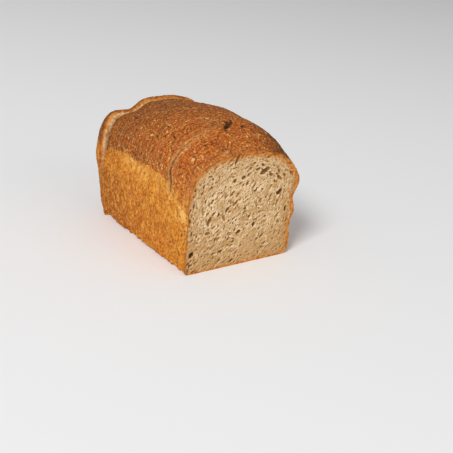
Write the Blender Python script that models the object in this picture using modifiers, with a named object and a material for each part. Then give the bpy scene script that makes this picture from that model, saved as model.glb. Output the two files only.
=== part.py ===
"""A whole wheat pan loaf with one end cut flat, and its heel slice standing behind the other end.

Metres, +Z up. The bread is modelled with X across the loaf, Y running back from the front cut and Z up from
its base. Each piece is then placed so that the origin is at the middle of the whole, at the base.
"""

import math
import random

import bmesh
import bpy
from mathutils import Matrix, Vector, noise

MM = 0.001

# Driving dimensions, in metres.
LOAF_LENGTH = 132 * MM  # from the front cut to the cut in front of the heel
HEEL_GAP = 0.4 * MM  # between loaf and heel at the base
HEEL_LEAN = math.radians(2.6)  # the knife ran this far off square, so the gap widens upwards
HEEL_SHIFT = -2.5 * MM  # the heel stands this far to the left of the loaf
RIM_HEIGHT = 60 * MM  # top of the straight sides that the pan shaped
HEEL_RISE = 1.03  # the heel stands this much taller than the bread just in front of it
WHOLE_MIDDLE = Vector((-3.1 * MM, 76.5 * MM, 0.0))  # what becomes the origin

# Cross-sections of the cage, front to back, in millimetres: place along the loaf, height of the crown, middle
# of the section, half width at the base and at the rim, how far the rim leans back, and last, as a share of
# the section, the inset that rounds the end.
SECTIONS_MM = (
    (-22, 87, 0.0, 52.5, 54.5, 0, 0.0),
    (0, 101, 0.0, 53.0, 56.0, 0, 0.0),
    (22, 115.5, 0.5, 54.5, 58.5, 0, 0.0),
    (54, 118.5, -0.5, 55.0, 58.0, 0, 0.0),
    (88, 117.5, -1.5, 55.0, 59.0, 0, 0.0),
    (116, 110, -2.5, 55.0, 60.5, 2, 0.0),
    (138, 108.0, -2.5, 54.5, 61.5, 8, 0.0),
    (143, 107.5, -2.5, 54.5, 61.5, 10, 0.12),
    (144, 107.0, -2.5, 54.5, 61.5, 9, 0.60),
)
END_DRAW_IN = 0.6  # how far the dome of an end is drawn back in, against how far its rim leans out
BASE_FRACTIONS = (-0.97, -0.4, 0.4, 0.97)
BASE_CORNER_HEIGHT = 2.5 * MM
BASE_FLAT = 1.0 * MM  # the pan pressed what is lower than this flat
LEFT_WALL_HEIGHTS_MM = (20, 40, 60)
# On the right the crust drew in over the pan's rim and bulges under it: height, and offset from straight.
RIGHT_WALL_WAVE_MM = ((16, 0.2), (30, -3.4), (42, 4.4), (54, -7.4), (66, 2.0))
WAVE_FADE = (20 * MM, 115 * MM, 0.35)  # it fades between these places along the loaf, to this share
SUBDIVISIONS = 2

# The dome over the rim is a superellipse, squarer on the left than on the right.
DOME_POINTS = 8
DOME_POWER_LEFT = 2.9
DOME_POWER_RIGHT = 2.45

# A broad valley runs along the left shoulder into the heel.
VALLEY_MIDDLE = -34 * MM
VALLEY_WIDTH = 12 * MM
VALLEY_DEPTH = 8.0 * MM
VALLEY_START = 80 * MM
VALLEY_FULL = 145 * MM

# Lumps of the crust: size of a lump and how far it stands out.
BROAD_LUMPS = (30 * MM, 1.3 * MM)
FINE_LUMPS = (13 * MM, 0.9 * MM)

# The fold where the dough was tucked under: points over the left side and the top, which it cuts into.
FOLD_POINTS_MM = (
    (-56, 25, 66),
    (-56, 26, 73),
    (-55, 30, 82),
    (-53, 30, 89),
    (-47, 28, 98),
    (-39, 28, 106),
    (-30, 27, 110),
    (-18, 33, 114),
)
FOLD_RADII_MM = (1.1, 1.9, 1.7, 2.2, 2.0, 1.7, 1.3, 0.7)
MERGE_DISTANCE = 0.05 * MM

# Open blisters in the crust: place, then length, width and depth, and the turn of the length from +X.
CRUST_CAVITIES_MM = (
    ((-2, 32, 114), (9.0, 5.0, 6.0), 20),
    ((9, 27, 112), (5.0, 3.0, 4.0), 60),
    ((-16, 89, 116), (6.0, 1.8, 3.0), 25),
    ((-42, 59, 108), (3.4, 1.8, 3.0), 70),
    ((-46, 107, 102), (7.0, 3.0, 4.0), 80),
    ((-45, 44, 104), (6.0, 1.6, 2.4), 75),
)

# The largest pores of the front cut: place across and up, length, width, and the turn of the length from +X.
LARGE_PORES_MM = (
    (18.2, 82.5, 8.5, 4.2, 22),
    (2.2, 86.3, 3.6, 2.2, 25),
    (-3.4, 79.3, 4.0, 3.0, 10),
    (36.6, 61.1, 5.5, 4.0, 35),
    (-13.2, 66.7, 5.5, 1.8, 40),
    (-16.5, 53.1, 4.6, 3.0, 60),
    (-19.7, 46.5, 6.0, 2.4, -60),
    (-33.3, 45.3, 6.6, 3.4, 72),
    (-28.7, 39.1, 3.6, 2.2, 40),
    (-24.2, 34.7, 4.4, 2.4, 35),
    (-34.1, 34.7, 4.6, 2.6, -10),
    (12.7, 34.9, 3.8, 2.8, 70),
    (37.0, 38.7, 7.0, 2.4, 62),
    (-47.5, 61.6, 6.5, 1.8, -72),
    (-41.2, 56.3, 4.0, 2.0, 80),
    (-28.6, 20.9, 5.5, 2.0, 40),
    (-48.3, 17.6, 4.4, 3.6, 60),
    (31.7, 70.9, 4.4, 1.6, 60),
)
SMALL_PORES = 20
SMALL_PORE_LENGTHS = (2.2 * MM, 3.6 * MM)
SMALL_PORE_SLENDERNESS = (0.4, 0.75)
PORE_DEPTH_SHARE = 1.2  # of a pore's width
PORE_OFFSET_SHARE = 0.23  # of a pore's width, how far its middle lies in front of the cut
PORE_SPACING = 5.5 * MM
ROUNDER_PORE_LENGTH = 6.0 * MM
FACE_HALF_WIDTH = 46 * MM
FACE_HEIGHTS = (8 * MM, 90 * MM)
SWIRL_MIDDLE = Vector((14 * MM, 0.0, 48 * MM))  # the crumb winds round this point of the front cut
SWIRL_SPREAD = 0.35  # standard deviation, in radians, of a small pore from the swirl

# The crack that runs down into the front cut from its top edge.
CRACK_TOP = Vector((-9.5, 0.0, 102.0)) * MM
CRACK_FOOT = Vector((-14.5, 0.0, 91.0)) * MM
CRACK_WIDTH = 1.8 * MM
CRACK_DEPTH = 5.0 * MM
CRACK_OFFSET = Vector((0.0, -0.7, 0.0)) * MM  # its blade's middle lies this far in front of the cut

# Bran flakes baked on to the crust.
TOP_FLAKES = 66
HEEL_FLAKES = 6
FLAKE_LENGTHS = (2.0 * MM, 3.8 * MM)
FLAKE_SLENDERNESS = (0.5, 0.85)
FLAKE_THICKNESS = 1.3 * MM
FLAKE_SPACING = 5.0 * MM
FLAKE_THINNING = 0.55  # this share of the flakes is missing at the far end, none at the front
LOAF_FLAKE_RANGE = (3 * MM, 129 * MM)  # along the loaf
HEEL_FLAKE_RANGE = (138 * MM, 147 * MM)
FLAKE_ANGLES = (math.radians(26), math.radians(154))  # over the dome, from +X
DOME_HEART = Vector((-1.0 * MM, 0.0, 48 * MM))  # in each cross-section, what those angles are seen from
DOME_RADIUS = 60 * MM  # for the spacing across the dome

CRUST_COLOUR = (0.30, 0.115, 0.035, 1.0)
CRUMB_COLOUR = (0.58, 0.37, 0.19, 1.0)
CRUST_ROUGHNESS = 0.55
CRUMB_ROUGHNESS = 0.9
FLAKE_SEED = 27
PORE_SEED = 28
CUTTER_REACH = 0.2  # half size of the boxes that stand for the knife cuts
STEEP = 0.7  # a normal with more than this share along Y faces the front or the back


def clear_scene():
    for old in list(bpy.data.objects):
        bpy.data.objects.remove(old, do_unlink=True)


def new_collection(name, hidden=False):
    made = bpy.data.collections.new(name)
    made.hide_render = hidden
    bpy.context.scene.collection.children.link(made)
    return made


def new_material(name, colour, roughness):
    made = bpy.data.materials.new(name)
    made.use_nodes = True
    made.diffuse_color = colour
    shader = made.node_tree.nodes["Principled BSDF"]
    shader.inputs["Base Color"].default_value = colour
    shader.inputs["Roughness"].default_value = roughness
    shader.inputs["Metallic"].default_value = 0.0
    return made


def object_of(name, builder, collection, material):
    """A new object from a bmesh, which is then freed."""
    mesh = bpy.data.meshes.new(name)
    builder.to_mesh(mesh)
    builder.free()
    mesh.materials.append(material)
    made = bpy.data.objects.new(name, mesh)
    collection.objects.link(made)
    return made


def cutter_of(name, builder, collection, material):
    made = object_of(name, builder, collection, material)
    made.display_type = "WIRE"
    made.hide_render = True
    return made


def apply_modifiers(target):
    """Replaces the object's mesh by what its modifiers make of it."""
    graph = bpy.context.evaluated_depsgraph_get()
    made = bpy.data.meshes.new_from_object(target.evaluated_get(graph))
    target.modifiers.clear()
    target.data = made


def boolean(target, operation, other, solver="EXACT"):
    modifier = target.modifiers.new(other.name, "BOOLEAN")
    modifier.operation = operation
    modifier.object = other
    modifier.solver = solver
    modifier.material_mode = "TRANSFER"
    apply_modifiers(target)


# The whole bread


def smooth_step(low, high, value):
    t = min(max((value - low) / (high - low), 0.0), 1.0)
    return t * t * (3.0 - 2.0 * t)


def wall(half_base, half_rim, height):
    """Half width of the straight sides at this height."""
    return half_base + (half_rim - half_base) * min(height / RIM_HEIGHT, 1.0)


def section_points(place, crown, middle, base, rim):
    """One cross-section of the cage as (x, z), anticlockwise from the left end of the base."""
    points = [(middle + part * base, 0.0) for part in BASE_FRACTIONS]
    points.append((middle + base, BASE_CORNER_HEIGHT))
    fade_start, fade_end, faded = WAVE_FADE
    wave = 1.0 - (1.0 - faded) * smooth_step(fade_start, fade_end, place)
    for height, offset in RIGHT_WALL_WAVE_MM:
        points.append((middle + wall(base, rim, height * MM) + wave * offset * MM, height * MM))
    for step in range(DOME_POINTS):
        angle = math.pi * (step + 1) / (DOME_POINTS + 1)
        across = math.cos(angle)
        power = 2.0 / (DOME_POWER_RIGHT if across > 0 else DOME_POWER_LEFT)
        x = math.copysign(abs(across) ** power, across) * rim
        points.append((middle + x, RIM_HEIGHT + math.sin(angle) ** power * (crown - RIM_HEIGHT)))
    for height in reversed(LEFT_WALL_HEIGHTS_MM):
        points.append((middle - wall(base, rim, height * MM), height * MM))
    points.append((middle - base, BASE_CORNER_HEIGHT))
    return points


def section_ring(builder, row):
    """The cage's vertices for one row of SECTIONS_MM."""
    place, crown, middle, base, rim, lean = (value * MM for value in row[:-1])
    heart = Vector((middle, 0.0, crown / 2))
    made = []
    for x, z in section_points(place, crown, middle, base, rim):
        point = Vector((x, 0.0, z)).lerp(heart, row[-1])
        over_rim = max(point.z - RIM_HEIGHT, 0.0) / (crown - RIM_HEIGHT)
        point.y = place + lean * (min(point.z / RIM_HEIGHT, 1.0) - END_DRAW_IN * over_rim**2)
        made.append(builder.verts.new(point))
    return made


def relief(point):
    """How far the crust stands out at this point of the smooth form."""
    broad_size, broad_height = BROAD_LUMPS
    fine_size, fine_height = FINE_LUMPS
    lumps = broad_height * noise.noise(point / broad_size) + fine_height * noise.noise(point / fine_size)
    across = (point.x - VALLEY_MIDDLE) / VALLEY_WIDTH
    along = smooth_step(VALLEY_START, VALLEY_FULL, point.y)
    over_rim = smooth_step(RIM_HEIGHT, RIM_HEIGHT + VALLEY_WIDTH, point.z)
    valley = VALLEY_DEPTH * math.exp(-across * across) * along * over_rim
    return lumps - valley


def whole_bread(collection, crust):
    """The bread before it was cut: a coarse cage with Subdivision Surface, then its lumps and valley."""
    builder = bmesh.new()
    rings = [section_ring(builder, row) for row in SECTIONS_MM]
    for front, back in zip(rings, rings[1:]):
        for i, corner in enumerate(front):
            j = (i + 1) % len(front)
            builder.faces.new((corner, front[j], back[j], back[i]))
    builder.faces.new(list(reversed(rings[0])))
    builder.faces.new(rings[-1])
    bmesh.ops.recalc_face_normals(builder, faces=builder.faces)
    made = object_of("whole_bread", builder, collection, crust)
    soften = made.modifiers.new("soften", "SUBSURF")
    soften.levels = soften.render_levels = SUBDIVISIONS
    apply_modifiers(made)
    moved = [v.co + v.normal * relief(v.co) for v in made.data.vertices]
    for vertex, place in zip(made.data.vertices, moved):
        vertex.co = place if place.z > BASE_FLAT else Vector((place.x, place.y, 0.0))
    return made


# What is cut away


def box_cutter(name, low, high, collection, material):
    builder = bmesh.new()
    size = [b - a for a, b in zip(low, high)]
    middle = [(a + b) / 2 for a, b in zip(low, high)]
    bmesh.ops.create_cube(builder, size=1.0, matrix=Matrix.LocRotScale(middle, None, size))
    return cutter_of(name, builder, collection, material)


def ellipsoid(builder, place, turn, size, subdivisions=1):
    """An ellipsoid of the given overall size, its own axes turned by the rotation matrix."""
    scale = Matrix.Diagonal((*(side / 2 for side in size), 1.0))
    matrix = Matrix.Translation(place) @ turn.to_4x4() @ scale
    bmesh.ops.create_icosphere(builder, subdivisions=subdivisions, radius=1.0, matrix=matrix)


def frame_on(normal, turn):
    """A rotation whose Z is the normal, and whose X is turned round it by this angle from across the loaf."""
    along = Vector((0.0, 1.0, 0.0)) if abs(normal.y) < STEEP else Vector((0.0, 0.0, 1.0))
    x_axis = along.cross(normal).normalized()
    base = Matrix((x_axis, normal.cross(x_axis), normal)).transposed()
    return Matrix.Rotation(turn, 3, normal) @ base


def on_surface(target, point_mm):
    """The nearest point of the surface and its normal."""
    found, place, normal, _ = target.closest_point_on_mesh(Vector(point_mm) * MM)
    if not found:
        raise ValueError("no surface near the point")
    return place, normal


def fold_cutter(bread, collection, material):
    """A tapering tube along the fold, half sunk in the crust, as a closed mesh."""
    curve = bpy.data.curves.new("fold", "CURVE")
    curve.dimensions = "3D"
    curve.bevel_depth = 1.0 * MM
    curve.bevel_resolution = 1
    curve.resolution_u = 3
    curve.use_fill_caps = True
    spline = curve.splines.new("BEZIER")
    spline.bezier_points.add(len(FOLD_POINTS_MM) - 1)
    for knot, point_mm, radius in zip(spline.bezier_points, FOLD_POINTS_MM, FOLD_RADII_MM):
        knot.co = on_surface(bread, point_mm)[0]
        knot.radius = radius
        knot.handle_left_type = knot.handle_right_type = "AUTO"
    guide = bpy.data.objects.new("fold", curve)
    collection.objects.link(guide)
    graph = bpy.context.evaluated_depsgraph_get()
    builder = bmesh.new()
    builder.from_mesh(bpy.data.meshes.new_from_object(guide.evaluated_get(graph)))
    bpy.data.objects.remove(guide)
    bmesh.ops.remove_doubles(builder, verts=builder.verts, dist=MERGE_DISTANCE)
    bmesh.ops.recalc_face_normals(builder, faces=builder.faces)
    return cutter_of("fold_groove", builder, collection, material)


def cavity_cutter(bread, collection, material):
    builder = bmesh.new()
    for point_mm, size_mm, degrees in CRUST_CAVITIES_MM:
        place, normal = on_surface(bread, point_mm)
        turn = frame_on(normal, math.radians(degrees))
        ellipsoid(builder, place, turn, [side * MM for side in size_mm], subdivisions=2)
    return cutter_of("crust_cavities", builder, collection, material)


def far_from(place, others, distance):
    return all((place - other).length > distance for other in others)


def pore(builder, place, turn, length, width):
    middle = place - Vector((0.0, PORE_OFFSET_SHARE * width, 0.0))
    size = (length, width, 2 * PORE_DEPTH_SHARE * width)
    ellipsoid(builder, middle, turn, size, subdivisions=2 if length > ROUNDER_PORE_LENGTH else 1)


def pore_cutter(collection, material, rng):
    """The pores of the front cut: the largest where they are, smaller ones between them along the swirl."""
    builder = bmesh.new()
    places = []
    facing = Matrix.Rotation(math.radians(90), 3, "X")
    for x, z, length, width, degrees in LARGE_PORES_MM:
        place = Vector((x, 0.0, z)) * MM
        places.append(place)
        turn = Matrix.Rotation(math.radians(-degrees), 3, "Y") @ facing
        pore(builder, place, turn, length * MM, width * MM)
    while len(places) < len(LARGE_PORES_MM) + SMALL_PORES:
        place = Vector((rng.uniform(-FACE_HALF_WIDTH, FACE_HALF_WIDTH), 0.0, rng.uniform(*FACE_HEIGHTS)))
        if not far_from(place, places, PORE_SPACING):
            continue
        places.append(place)
        length = rng.uniform(*SMALL_PORE_LENGTHS)
        width = length * rng.uniform(*SMALL_PORE_SLENDERNESS)
        outward = place - SWIRL_MIDDLE
        tangent = math.atan2(outward.x, -outward.z) + rng.gauss(0.0, SWIRL_SPREAD)
        turn = Matrix.Rotation(-tangent, 3, "Y") @ facing
        pore(builder, place, turn, length, width)
    return cutter_of("front_pores", builder, collection, material)


def crack_cutter(collection, material):
    """A blade that narrows to the crack's foot and to its bottom."""
    builder = bmesh.new()
    down = CRACK_FOOT - CRACK_TOP
    turn = Matrix.Rotation(math.atan2(down.x, down.z), 3, "Y")
    size = (CRACK_WIDTH, 2 * CRACK_DEPTH, 2 * down.length)
    ellipsoid(builder, CRACK_TOP + CRACK_OFFSET, turn, size)
    return cutter_of("top_crack", builder, collection, material)


# Bran flakes


def flake_places(count, along_range, rng):
    """Places as (distance along the loaf, angle over the dome), closer together towards the front."""
    places = []
    while len(places) < count:
        along = rng.uniform(*along_range)
        angle = rng.uniform(*FLAKE_ANGLES)
        thinned = rng.random() < FLAKE_THINNING * along / LOAF_LENGTH
        gaps = [math.hypot(along - a, (angle - b) * DOME_RADIUS) for a, b in places]
        if not thinned and min(gaps, default=1.0) > FLAKE_SPACING:
            places.append((along, angle))
    return places


def fuse_flakes(target, places, collection, crust, rng):
    """One Boolean union of a collection of low lens-shaped flakes with the crust."""
    flakes = new_collection(target.name + "_flakes")
    for number, (along, angle) in enumerate(places):
        heart = DOME_HEART + Vector((0.0, along, 0.0))
        outward = Vector((math.cos(angle), 0.0, math.sin(angle)))
        found, place, normal, _ = target.ray_cast(heart, outward)
        if not found:
            raise ValueError("a flake's ray met no crust")
        length = rng.uniform(*FLAKE_LENGTHS)
        width = length * rng.uniform(*FLAKE_SLENDERNESS)
        turn = frame_on(normal, rng.uniform(0.0, math.pi))
        builder = bmesh.new()
        ellipsoid(builder, place, turn, (length, width, FLAKE_THICKNESS))
        object_of(f"flake_{number}", builder, flakes, crust)
    modifier = target.modifiers.new("flakes", "BOOLEAN")
    modifier.operation = "UNION"
    modifier.operand_type = "COLLECTION"
    modifier.collection = flakes
    apply_modifiers(target)
    for flake in list(flakes.objects):
        bpy.data.objects.remove(flake, do_unlink=True)
    bpy.data.collections.remove(flakes)


def main():
    clear_scene()
    flake_rng = random.Random(FLAKE_SEED)
    pore_rng = random.Random(PORE_SEED)
    parts = new_collection("whole_wheat_loaf")
    cutters = new_collection("cutters", hidden=True)
    crust = new_material("crust", CRUST_COLOUR, CRUST_ROUGHNESS)
    crumb = new_material("crumb", CRUMB_COLOUR, CRUMB_ROUGHNESS)

    bread = whole_bread(parts, crust)
    loaf_flakes = flake_places(TOP_FLAKES, LOAF_FLAKE_RANGE, flake_rng)
    heel_flakes = flake_places(HEEL_FLAKES, HEEL_FLAKE_RANGE, flake_rng)
    fold = fold_cutter(bread, cutters, crust)
    cavities = cavity_cutter(bread, cutters, crust)
    heel = bread.copy()
    heel.data = bread.data.copy()
    parts.objects.link(heel)
    heel.name = "heel"
    loaf = bread
    loaf.name = "loaf"

    r = CUTTER_REACH
    between = box_cutter("between_the_cuts", (-r, 0.0, -r), (r, LOAF_LENGTH, r), cutters, crumb)
    behind = box_cutter("behind_the_cut", (-r, 0.0, -r), (r, r, r), cutters, crumb)
    behind.data.transform(Matrix.Rotation(-HEEL_LEAN, 4, "X"))
    behind.data.transform(Matrix.Translation((0.0, LOAF_LENGTH + HEEL_GAP, 0.0)))
    fuse_flakes(loaf, loaf_flakes, parts, crust, flake_rng)
    fuse_flakes(heel, heel_flakes, parts, crust, flake_rng)
    boolean(loaf, "INTERSECT", between)
    boolean(heel, "INTERSECT", behind)
    boolean(loaf, "DIFFERENCE", fold)
    boolean(loaf, "DIFFERENCE", cavities)
    # EXACT leaves open edges where so many small cuts meet the one flat face.
    boolean(loaf, "DIFFERENCE", pore_cutter(cutters, crumb, pore_rng), solver="MANIFOLD")
    boolean(loaf, "DIFFERENCE", crack_cutter(cutters, crumb), solver="MANIFOLD")
    heel.data.transform(Matrix.Diagonal((1.0, 1.0, HEEL_RISE, 1.0)))
    heel.data.transform(Matrix.Translation((HEEL_SHIFT, 0.0, 0.0)))
    for piece in (loaf, heel):
        piece.location = -WHOLE_MIDDLE


main()
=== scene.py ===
"""A sliced whole wheat pan loaf: baked crust, open crumb, bran flakes, and the light it stands in.

The bread is shaped with X across the loaf, Y running back from the front cut and Z up from the base, all in
metres, and is then moved so that the front cut lies where the frame has it.
"""

import math
import random

import bpy
import numpy as np
from bpy.props import FloatProperty, FloatVectorProperty, IntProperty, PointerProperty
from mathutils import Matrix, Vector, kdtree, noise


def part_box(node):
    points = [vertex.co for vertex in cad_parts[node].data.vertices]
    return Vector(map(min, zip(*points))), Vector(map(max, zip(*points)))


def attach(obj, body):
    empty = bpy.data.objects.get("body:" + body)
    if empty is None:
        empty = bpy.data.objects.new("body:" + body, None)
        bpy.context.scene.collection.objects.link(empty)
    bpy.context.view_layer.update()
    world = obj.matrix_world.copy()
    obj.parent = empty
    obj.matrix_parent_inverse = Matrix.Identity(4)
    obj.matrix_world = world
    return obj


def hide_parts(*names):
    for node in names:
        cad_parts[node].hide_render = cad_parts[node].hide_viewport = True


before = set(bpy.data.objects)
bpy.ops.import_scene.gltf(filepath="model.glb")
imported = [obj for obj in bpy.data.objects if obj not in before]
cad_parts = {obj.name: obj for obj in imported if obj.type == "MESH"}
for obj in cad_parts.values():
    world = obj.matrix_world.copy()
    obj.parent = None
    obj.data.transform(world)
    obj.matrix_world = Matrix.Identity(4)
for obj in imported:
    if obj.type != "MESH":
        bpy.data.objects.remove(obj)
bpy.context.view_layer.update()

bl_info = {
    "name": "Whole Wheat Bread",
    "version": (1, 0, 0),
    "blender": (4, 5, 0),
    "location": "3D View > Sidebar > Bread",
    "description": "Shapes, bakes, slices and lights a whole wheat pan loaf",
    "category": "Mesh",
}

MM = 0.001
LOAF_LOW, LOAF_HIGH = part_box("loaf")

# The loaf, from the frame.
LOAF_LENGTH = LOAF_HIGH.y - LOAF_LOW.y
FRONT_CUT = LOAF_LOW.y  # where the cut face stands in the frame
MIDDLE = Vector((-3.1 * MM, -FRONT_CUT, 0.0))  # the frame's origin, in the bread's own coordinates
HEEL_GAP = 0.4 * MM
HEEL_LEAN = math.radians(2.6)
HEEL_SHIFT = -2.5 * MM
HEEL_RISE = 1.03
HEEL_OPENNESS = 0.65  # of its pores, as a share of the loaf's
HEEL_RIM_MM = (0, 1.4, 2.8, 4.4)  # how far in from its crust
HEEL_RIM_TOAST = (0.0, 0.3, 0.8, 1.2)  # and how toasted it is there, as a place across the rim
RIM_HEIGHT = 60 * MM  # where the straight walls end and the dome starts

# Cross-sections of the cage, front to back, in millimetres: place along the loaf, height of the crown, middle
# of the section, half width at the base and at the rim, how far the rim leans back, and last, as a share of
# the section, the inset that rounds the end.
SECTIONS_MM = (
    (-22, 87, 0.0, 52.5, 54.5, 0, 0.0),
    (0, 101, 0.0, 53.0, 56.0, 0, 0.0),
    (22, 115.5, 0.5, 54.5, 58.5, 0, 0.0),
    (54, 118.5, -0.5, 55.0, 58.0, 0, 0.0),
    (88, 117.5, -1.5, 55.0, 59.0, 0, 0.0),
    (116, 110, -2.5, 55.0, 60.5, 2, 0.0),
    (138, 108.0, -2.5, 54.5, 61.5, 8, 0.0),
    (143, 107.5, -2.5, 54.5, 61.5, 10, 0.12),
    (144, 107.0, -2.5, 54.5, 61.5, 9, 0.60),
)
END_DRAW_IN = 0.6
BASE_FRACTIONS = (-0.97, -0.4, 0.4, 0.97)
BASE_CORNER_HEIGHT = 2.5 * MM
BASE_FLAT = 1.0 * MM
LEFT_WALL_HEIGHTS_MM = (20, 40, 60)
RIGHT_WALL_WAVE_MM = ((16, 0.2), (30, -3.4), (42, 4.4), (54, -7.4), (66, 2.0))
WAVE_FADE = (20 * MM, 115 * MM, 0.35)
DOME_POINTS = 8
DOME_POWER_LEFT = 2.9
DOME_POWER_RIGHT = 2.45
COARSE_LEVELS = 2  # of subdivision, before the lumps
VALLEY_MIDDLE = -34 * MM
VALLEY_WIDTH = 12 * MM
VALLEY_DEPTH = 8.0 * MM
VALLEY_START = 80 * MM
VALLEY_FULL = 145 * MM
LUMPS_MM = ((30, 1.3), (13, 0.9))  # size and height
DOME_HEART = np.array((-1.0 * MM, 0.0, 48 * MM))  # in each section, where angles are measured from
DOME_RADIUS = 60 * MM
SHOULDER_DRAW = 2.6 * MM  # how far the loaf's left shoulder is drawn in where it meets the heel

# The fold where the dough was tucked under, over the left side and the top, with its half widths.
FOLD_POINTS_MM = (
    (-56, 25, 66),
    (-56, 26, 73),
    (-55, 30, 82),
    (-53, 30, 89),
    (-47, 28, 98),
    (-39, 28, 106),
    (-30, 27, 110),
    (-18, 33, 114),
)
FOLD_RADII_MM = (1.4, 2.5, 2.3, 2.4, 2.0, 1.7, 1.3, 0.7)

# Open blisters in the crust: place, then length, width and depth, and the turn of the length from +X.
CRUST_CAVITIES_MM = (
    ((-2, 32, 114), (18.5, 5.2, 6.0), 39),
    ((9, 27, 112), (5.5, 2.4, 2.2), 50),
    ((-16, 89, 116), (6.5, 2.8, 3.0), 25),
    ((-42, 59, 108), (3.4, 1.8, 3.0), 70),
    ((-46, 107, 102), (7.0, 3.0, 4.0), 80),
    ((-45, 44, 104), (6.0, 1.6, 2.4), 75),
)

# The largest pores of the front cut: place across and up, length, width, the turn of the length from +X,
# and depth.
LARGE_PORES_MM = (
    (18.2, 82.5, 8.5, 4.2, 22, 2.2),
    (2.2, 86.3, 3.6, 2.2, 25, 1.3),
    (-3.4, 79.3, 4.0, 3.0, 10, 1.8),
    (36.6, 61.1, 5.5, 4.0, 35, 2.8),
    (-13.2, 66.7, 5.5, 1.8, 40, 1.1),
    (-16.5, 53.1, 4.6, 3.0, 60, 1.8),
    (-19.7, 46.5, 6.0, 2.4, -60, 1.4),
    (-33.3, 45.3, 6.6, 3.4, 72, 2.0),
    (-28.7, 39.1, 3.6, 2.2, 40, 1.3),
    (-24.2, 34.7, 4.4, 2.4, 35, 1.4),
    (-34.1, 34.7, 4.6, 2.6, -10, 1.6),
    (12.7, 34.9, 3.8, 2.8, 70, 2.4),
    (37.0, 38.7, 7.0, 2.4, 62, 1.4),
    (-47.5, 61.6, 6.5, 1.8, -72, 1.1),
    (-41.2, 56.3, 4.0, 2.0, 80, 1.2),
    (-28.6, 20.9, 5.5, 2.0, 40, 1.2),
    (-48.3, 17.6, 4.4, 3.6, 60, 4.2),
    (31.7, 70.9, 4.4, 1.6, 60, 1.0),
)
PORE_OPENING = 1.35
PORE_WARP = 0.5 * MM
# The pores and the crack's walls get painted shade, darkest at these depths
HOLLOW_DARKEST = 3.0 * MM  # the depth at which a pore is darkest
PIT_DARKEST = 0.6 * MM  # the same, measured from the crumb round it
SMALL_PORES = 20
SMALL_PORE_LENGTHS = (2.2 * MM, 3.6 * MM)
SMALL_PORE_SLENDERNESS = (0.4, 0.75)
SMALL_PORE_DEPTH = 0.8  # in widths
PORE_SPACING = 5.5 * MM
FACE_HALF_WIDTH = 46 * MM
FACE_HEIGHTS = (8 * MM, 90 * MM)
SWIRL_MIDDLE = Vector((14 * MM, 0.0, 48 * MM))
SWIRL_SPREAD = 0.35
PORE_SEED = 28

# The fine pores of every cut: how far out and up they lie, the middle length, the spread of its logarithm and
# its limits, their width in lengths, their depth in widths, and how much they stray from the grain.
FINE_PORE_REACH = 58 * MM
FINE_PORE_TOP = 104 * MM
FINE_PORE_LENGTH_MM = 2.2
FINE_PORE_SPREAD = 0.38
FINE_PORE_LIMITS_MM = (1.2, 5.0)
FINE_PORE_SLENDERNESS = (0.32, 0.65)
FINE_PORE_DEPTHS = (0.3, 0.8)
FINE_PORE_STRAYING = 0.3

CRACK_TOP = Vector((-9.5, 0.0, 102.0)) * MM
CRACK_FOOT = Vector((-14.5, 0.0, 91.0)) * MM
CRACK_WIDTH = 3.0 * MM
CRACK_DEPTH = 5.0 * MM
CRACK_SHADE = 0.35 * CRACK_DEPTH  # its walls are as dark as a pore this deep
CRACK_OFFSET = Vector((0.0, -0.7, 0.0)) * MM

# Which way the crumb's pores lie in a cut: place across and up, and the turn of their length from +X.
GRAIN_MM = (
    (-54, 50, 90), (-48, 78, 62), (-32, 92, 42), (-6, 98, 25), (20, 96, -8), (40, 86, -40), (52, 62, 80),
    (48, 30, 78), (0, 62, 55), (-26, 42, 55), (26, 44, 55), (-42, 15, 52), (-8, 8, 25), (34, 10, 40),
)
GRAIN_REACH = 7 * MM
CELL_SPACING = 1.3 * MM
GAP_SPACING = 2.9 * MM  # of the fewer, larger hollows
CELL_AREA = (124 * MM, 118 * MM)
CELL_LENGTHS = (0.6, 1.3)  # in spacings
CELL_SLENDERNESS = (0.3, 0.6)
CELL_STRAYING = 0.25

# What the knife leaves of the bread: low and high corners. The heel's block is then tilted and set back.
LOAF_BLOCK = ((-64.5 * MM, 0.0, -1 * MM), (60.5 * MM, LOAF_LENGTH, 119 * MM))
HEEL_BLOCK = ((-70 * MM, 0.0, -20 * MM), (70 * MM, 60 * MM, 130 * MM))

# Number of cuts in each subdivision of the faces that become crumb.
FRONT_CUTS = (18, 18)
BACK_CUTS = (9, 9)
HEEL_CUTS = (12, 12)

# Bran flakes baked on to the crust.
TOP_FLAKES = 66
HEEL_FLAKES = 6
FLAKE_LENGTHS = (2.0 * MM, 3.8 * MM)
FLAKE_SLENDERNESS = (0.5, 0.85)
FLAKE_THICKNESS = 0.7 * MM
FLAKE_SPACING = 5.0 * MM
FLAKE_THINNING = 0.55
LOAF_FLAKE_RANGE = (3 * MM, 129 * MM)
HEEL_FLAKE_RANGE = (138 * MM, 147 * MM)
FLAKE_ANGLES = (math.radians(26), math.radians(154))
FLAKE_SEED = 27
FLAKE_RAGGEDNESS = 1.1
FLAKE_RAG_SIZE = 0.45  # in flake lengths
FLAKE_CURL = 0.8
FLAKE_DARKNESS = 3  # the higher, the fewer are pale
SHRED_RANGE = (1.5 * MM, 130.5 * MM)
SHRED_LENGTHS = (0.9 * MM, 2.6 * MM)
SHRED_SLENDERNESS = (0.25, 0.6)
SHRED_THICKNESS = 0.35 * MM
SHRED_CROWDING = (0.55, 1.0)  # drawn towards the front by this share
SHRED_STRAYING = 0.6
SHRED_DARKNESS = 1.6

# The line along the loaf up to which the pan kept the crust golden: distance from the cut, height.
PAN_LINE_MM = (
    (0, 51), (11, 60), (22, 68.5), (38, 74), (75, 73.5), (99, 74), (119, 68), (132, 66), (139, 70), (152, 71),
)
PALE_PATCH = np.array((-57, 6, 53)) * MM  # where the side is palest, beside the cut
LINE_REACH = 7 * MM  # how far from the fold it is still felt

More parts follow.
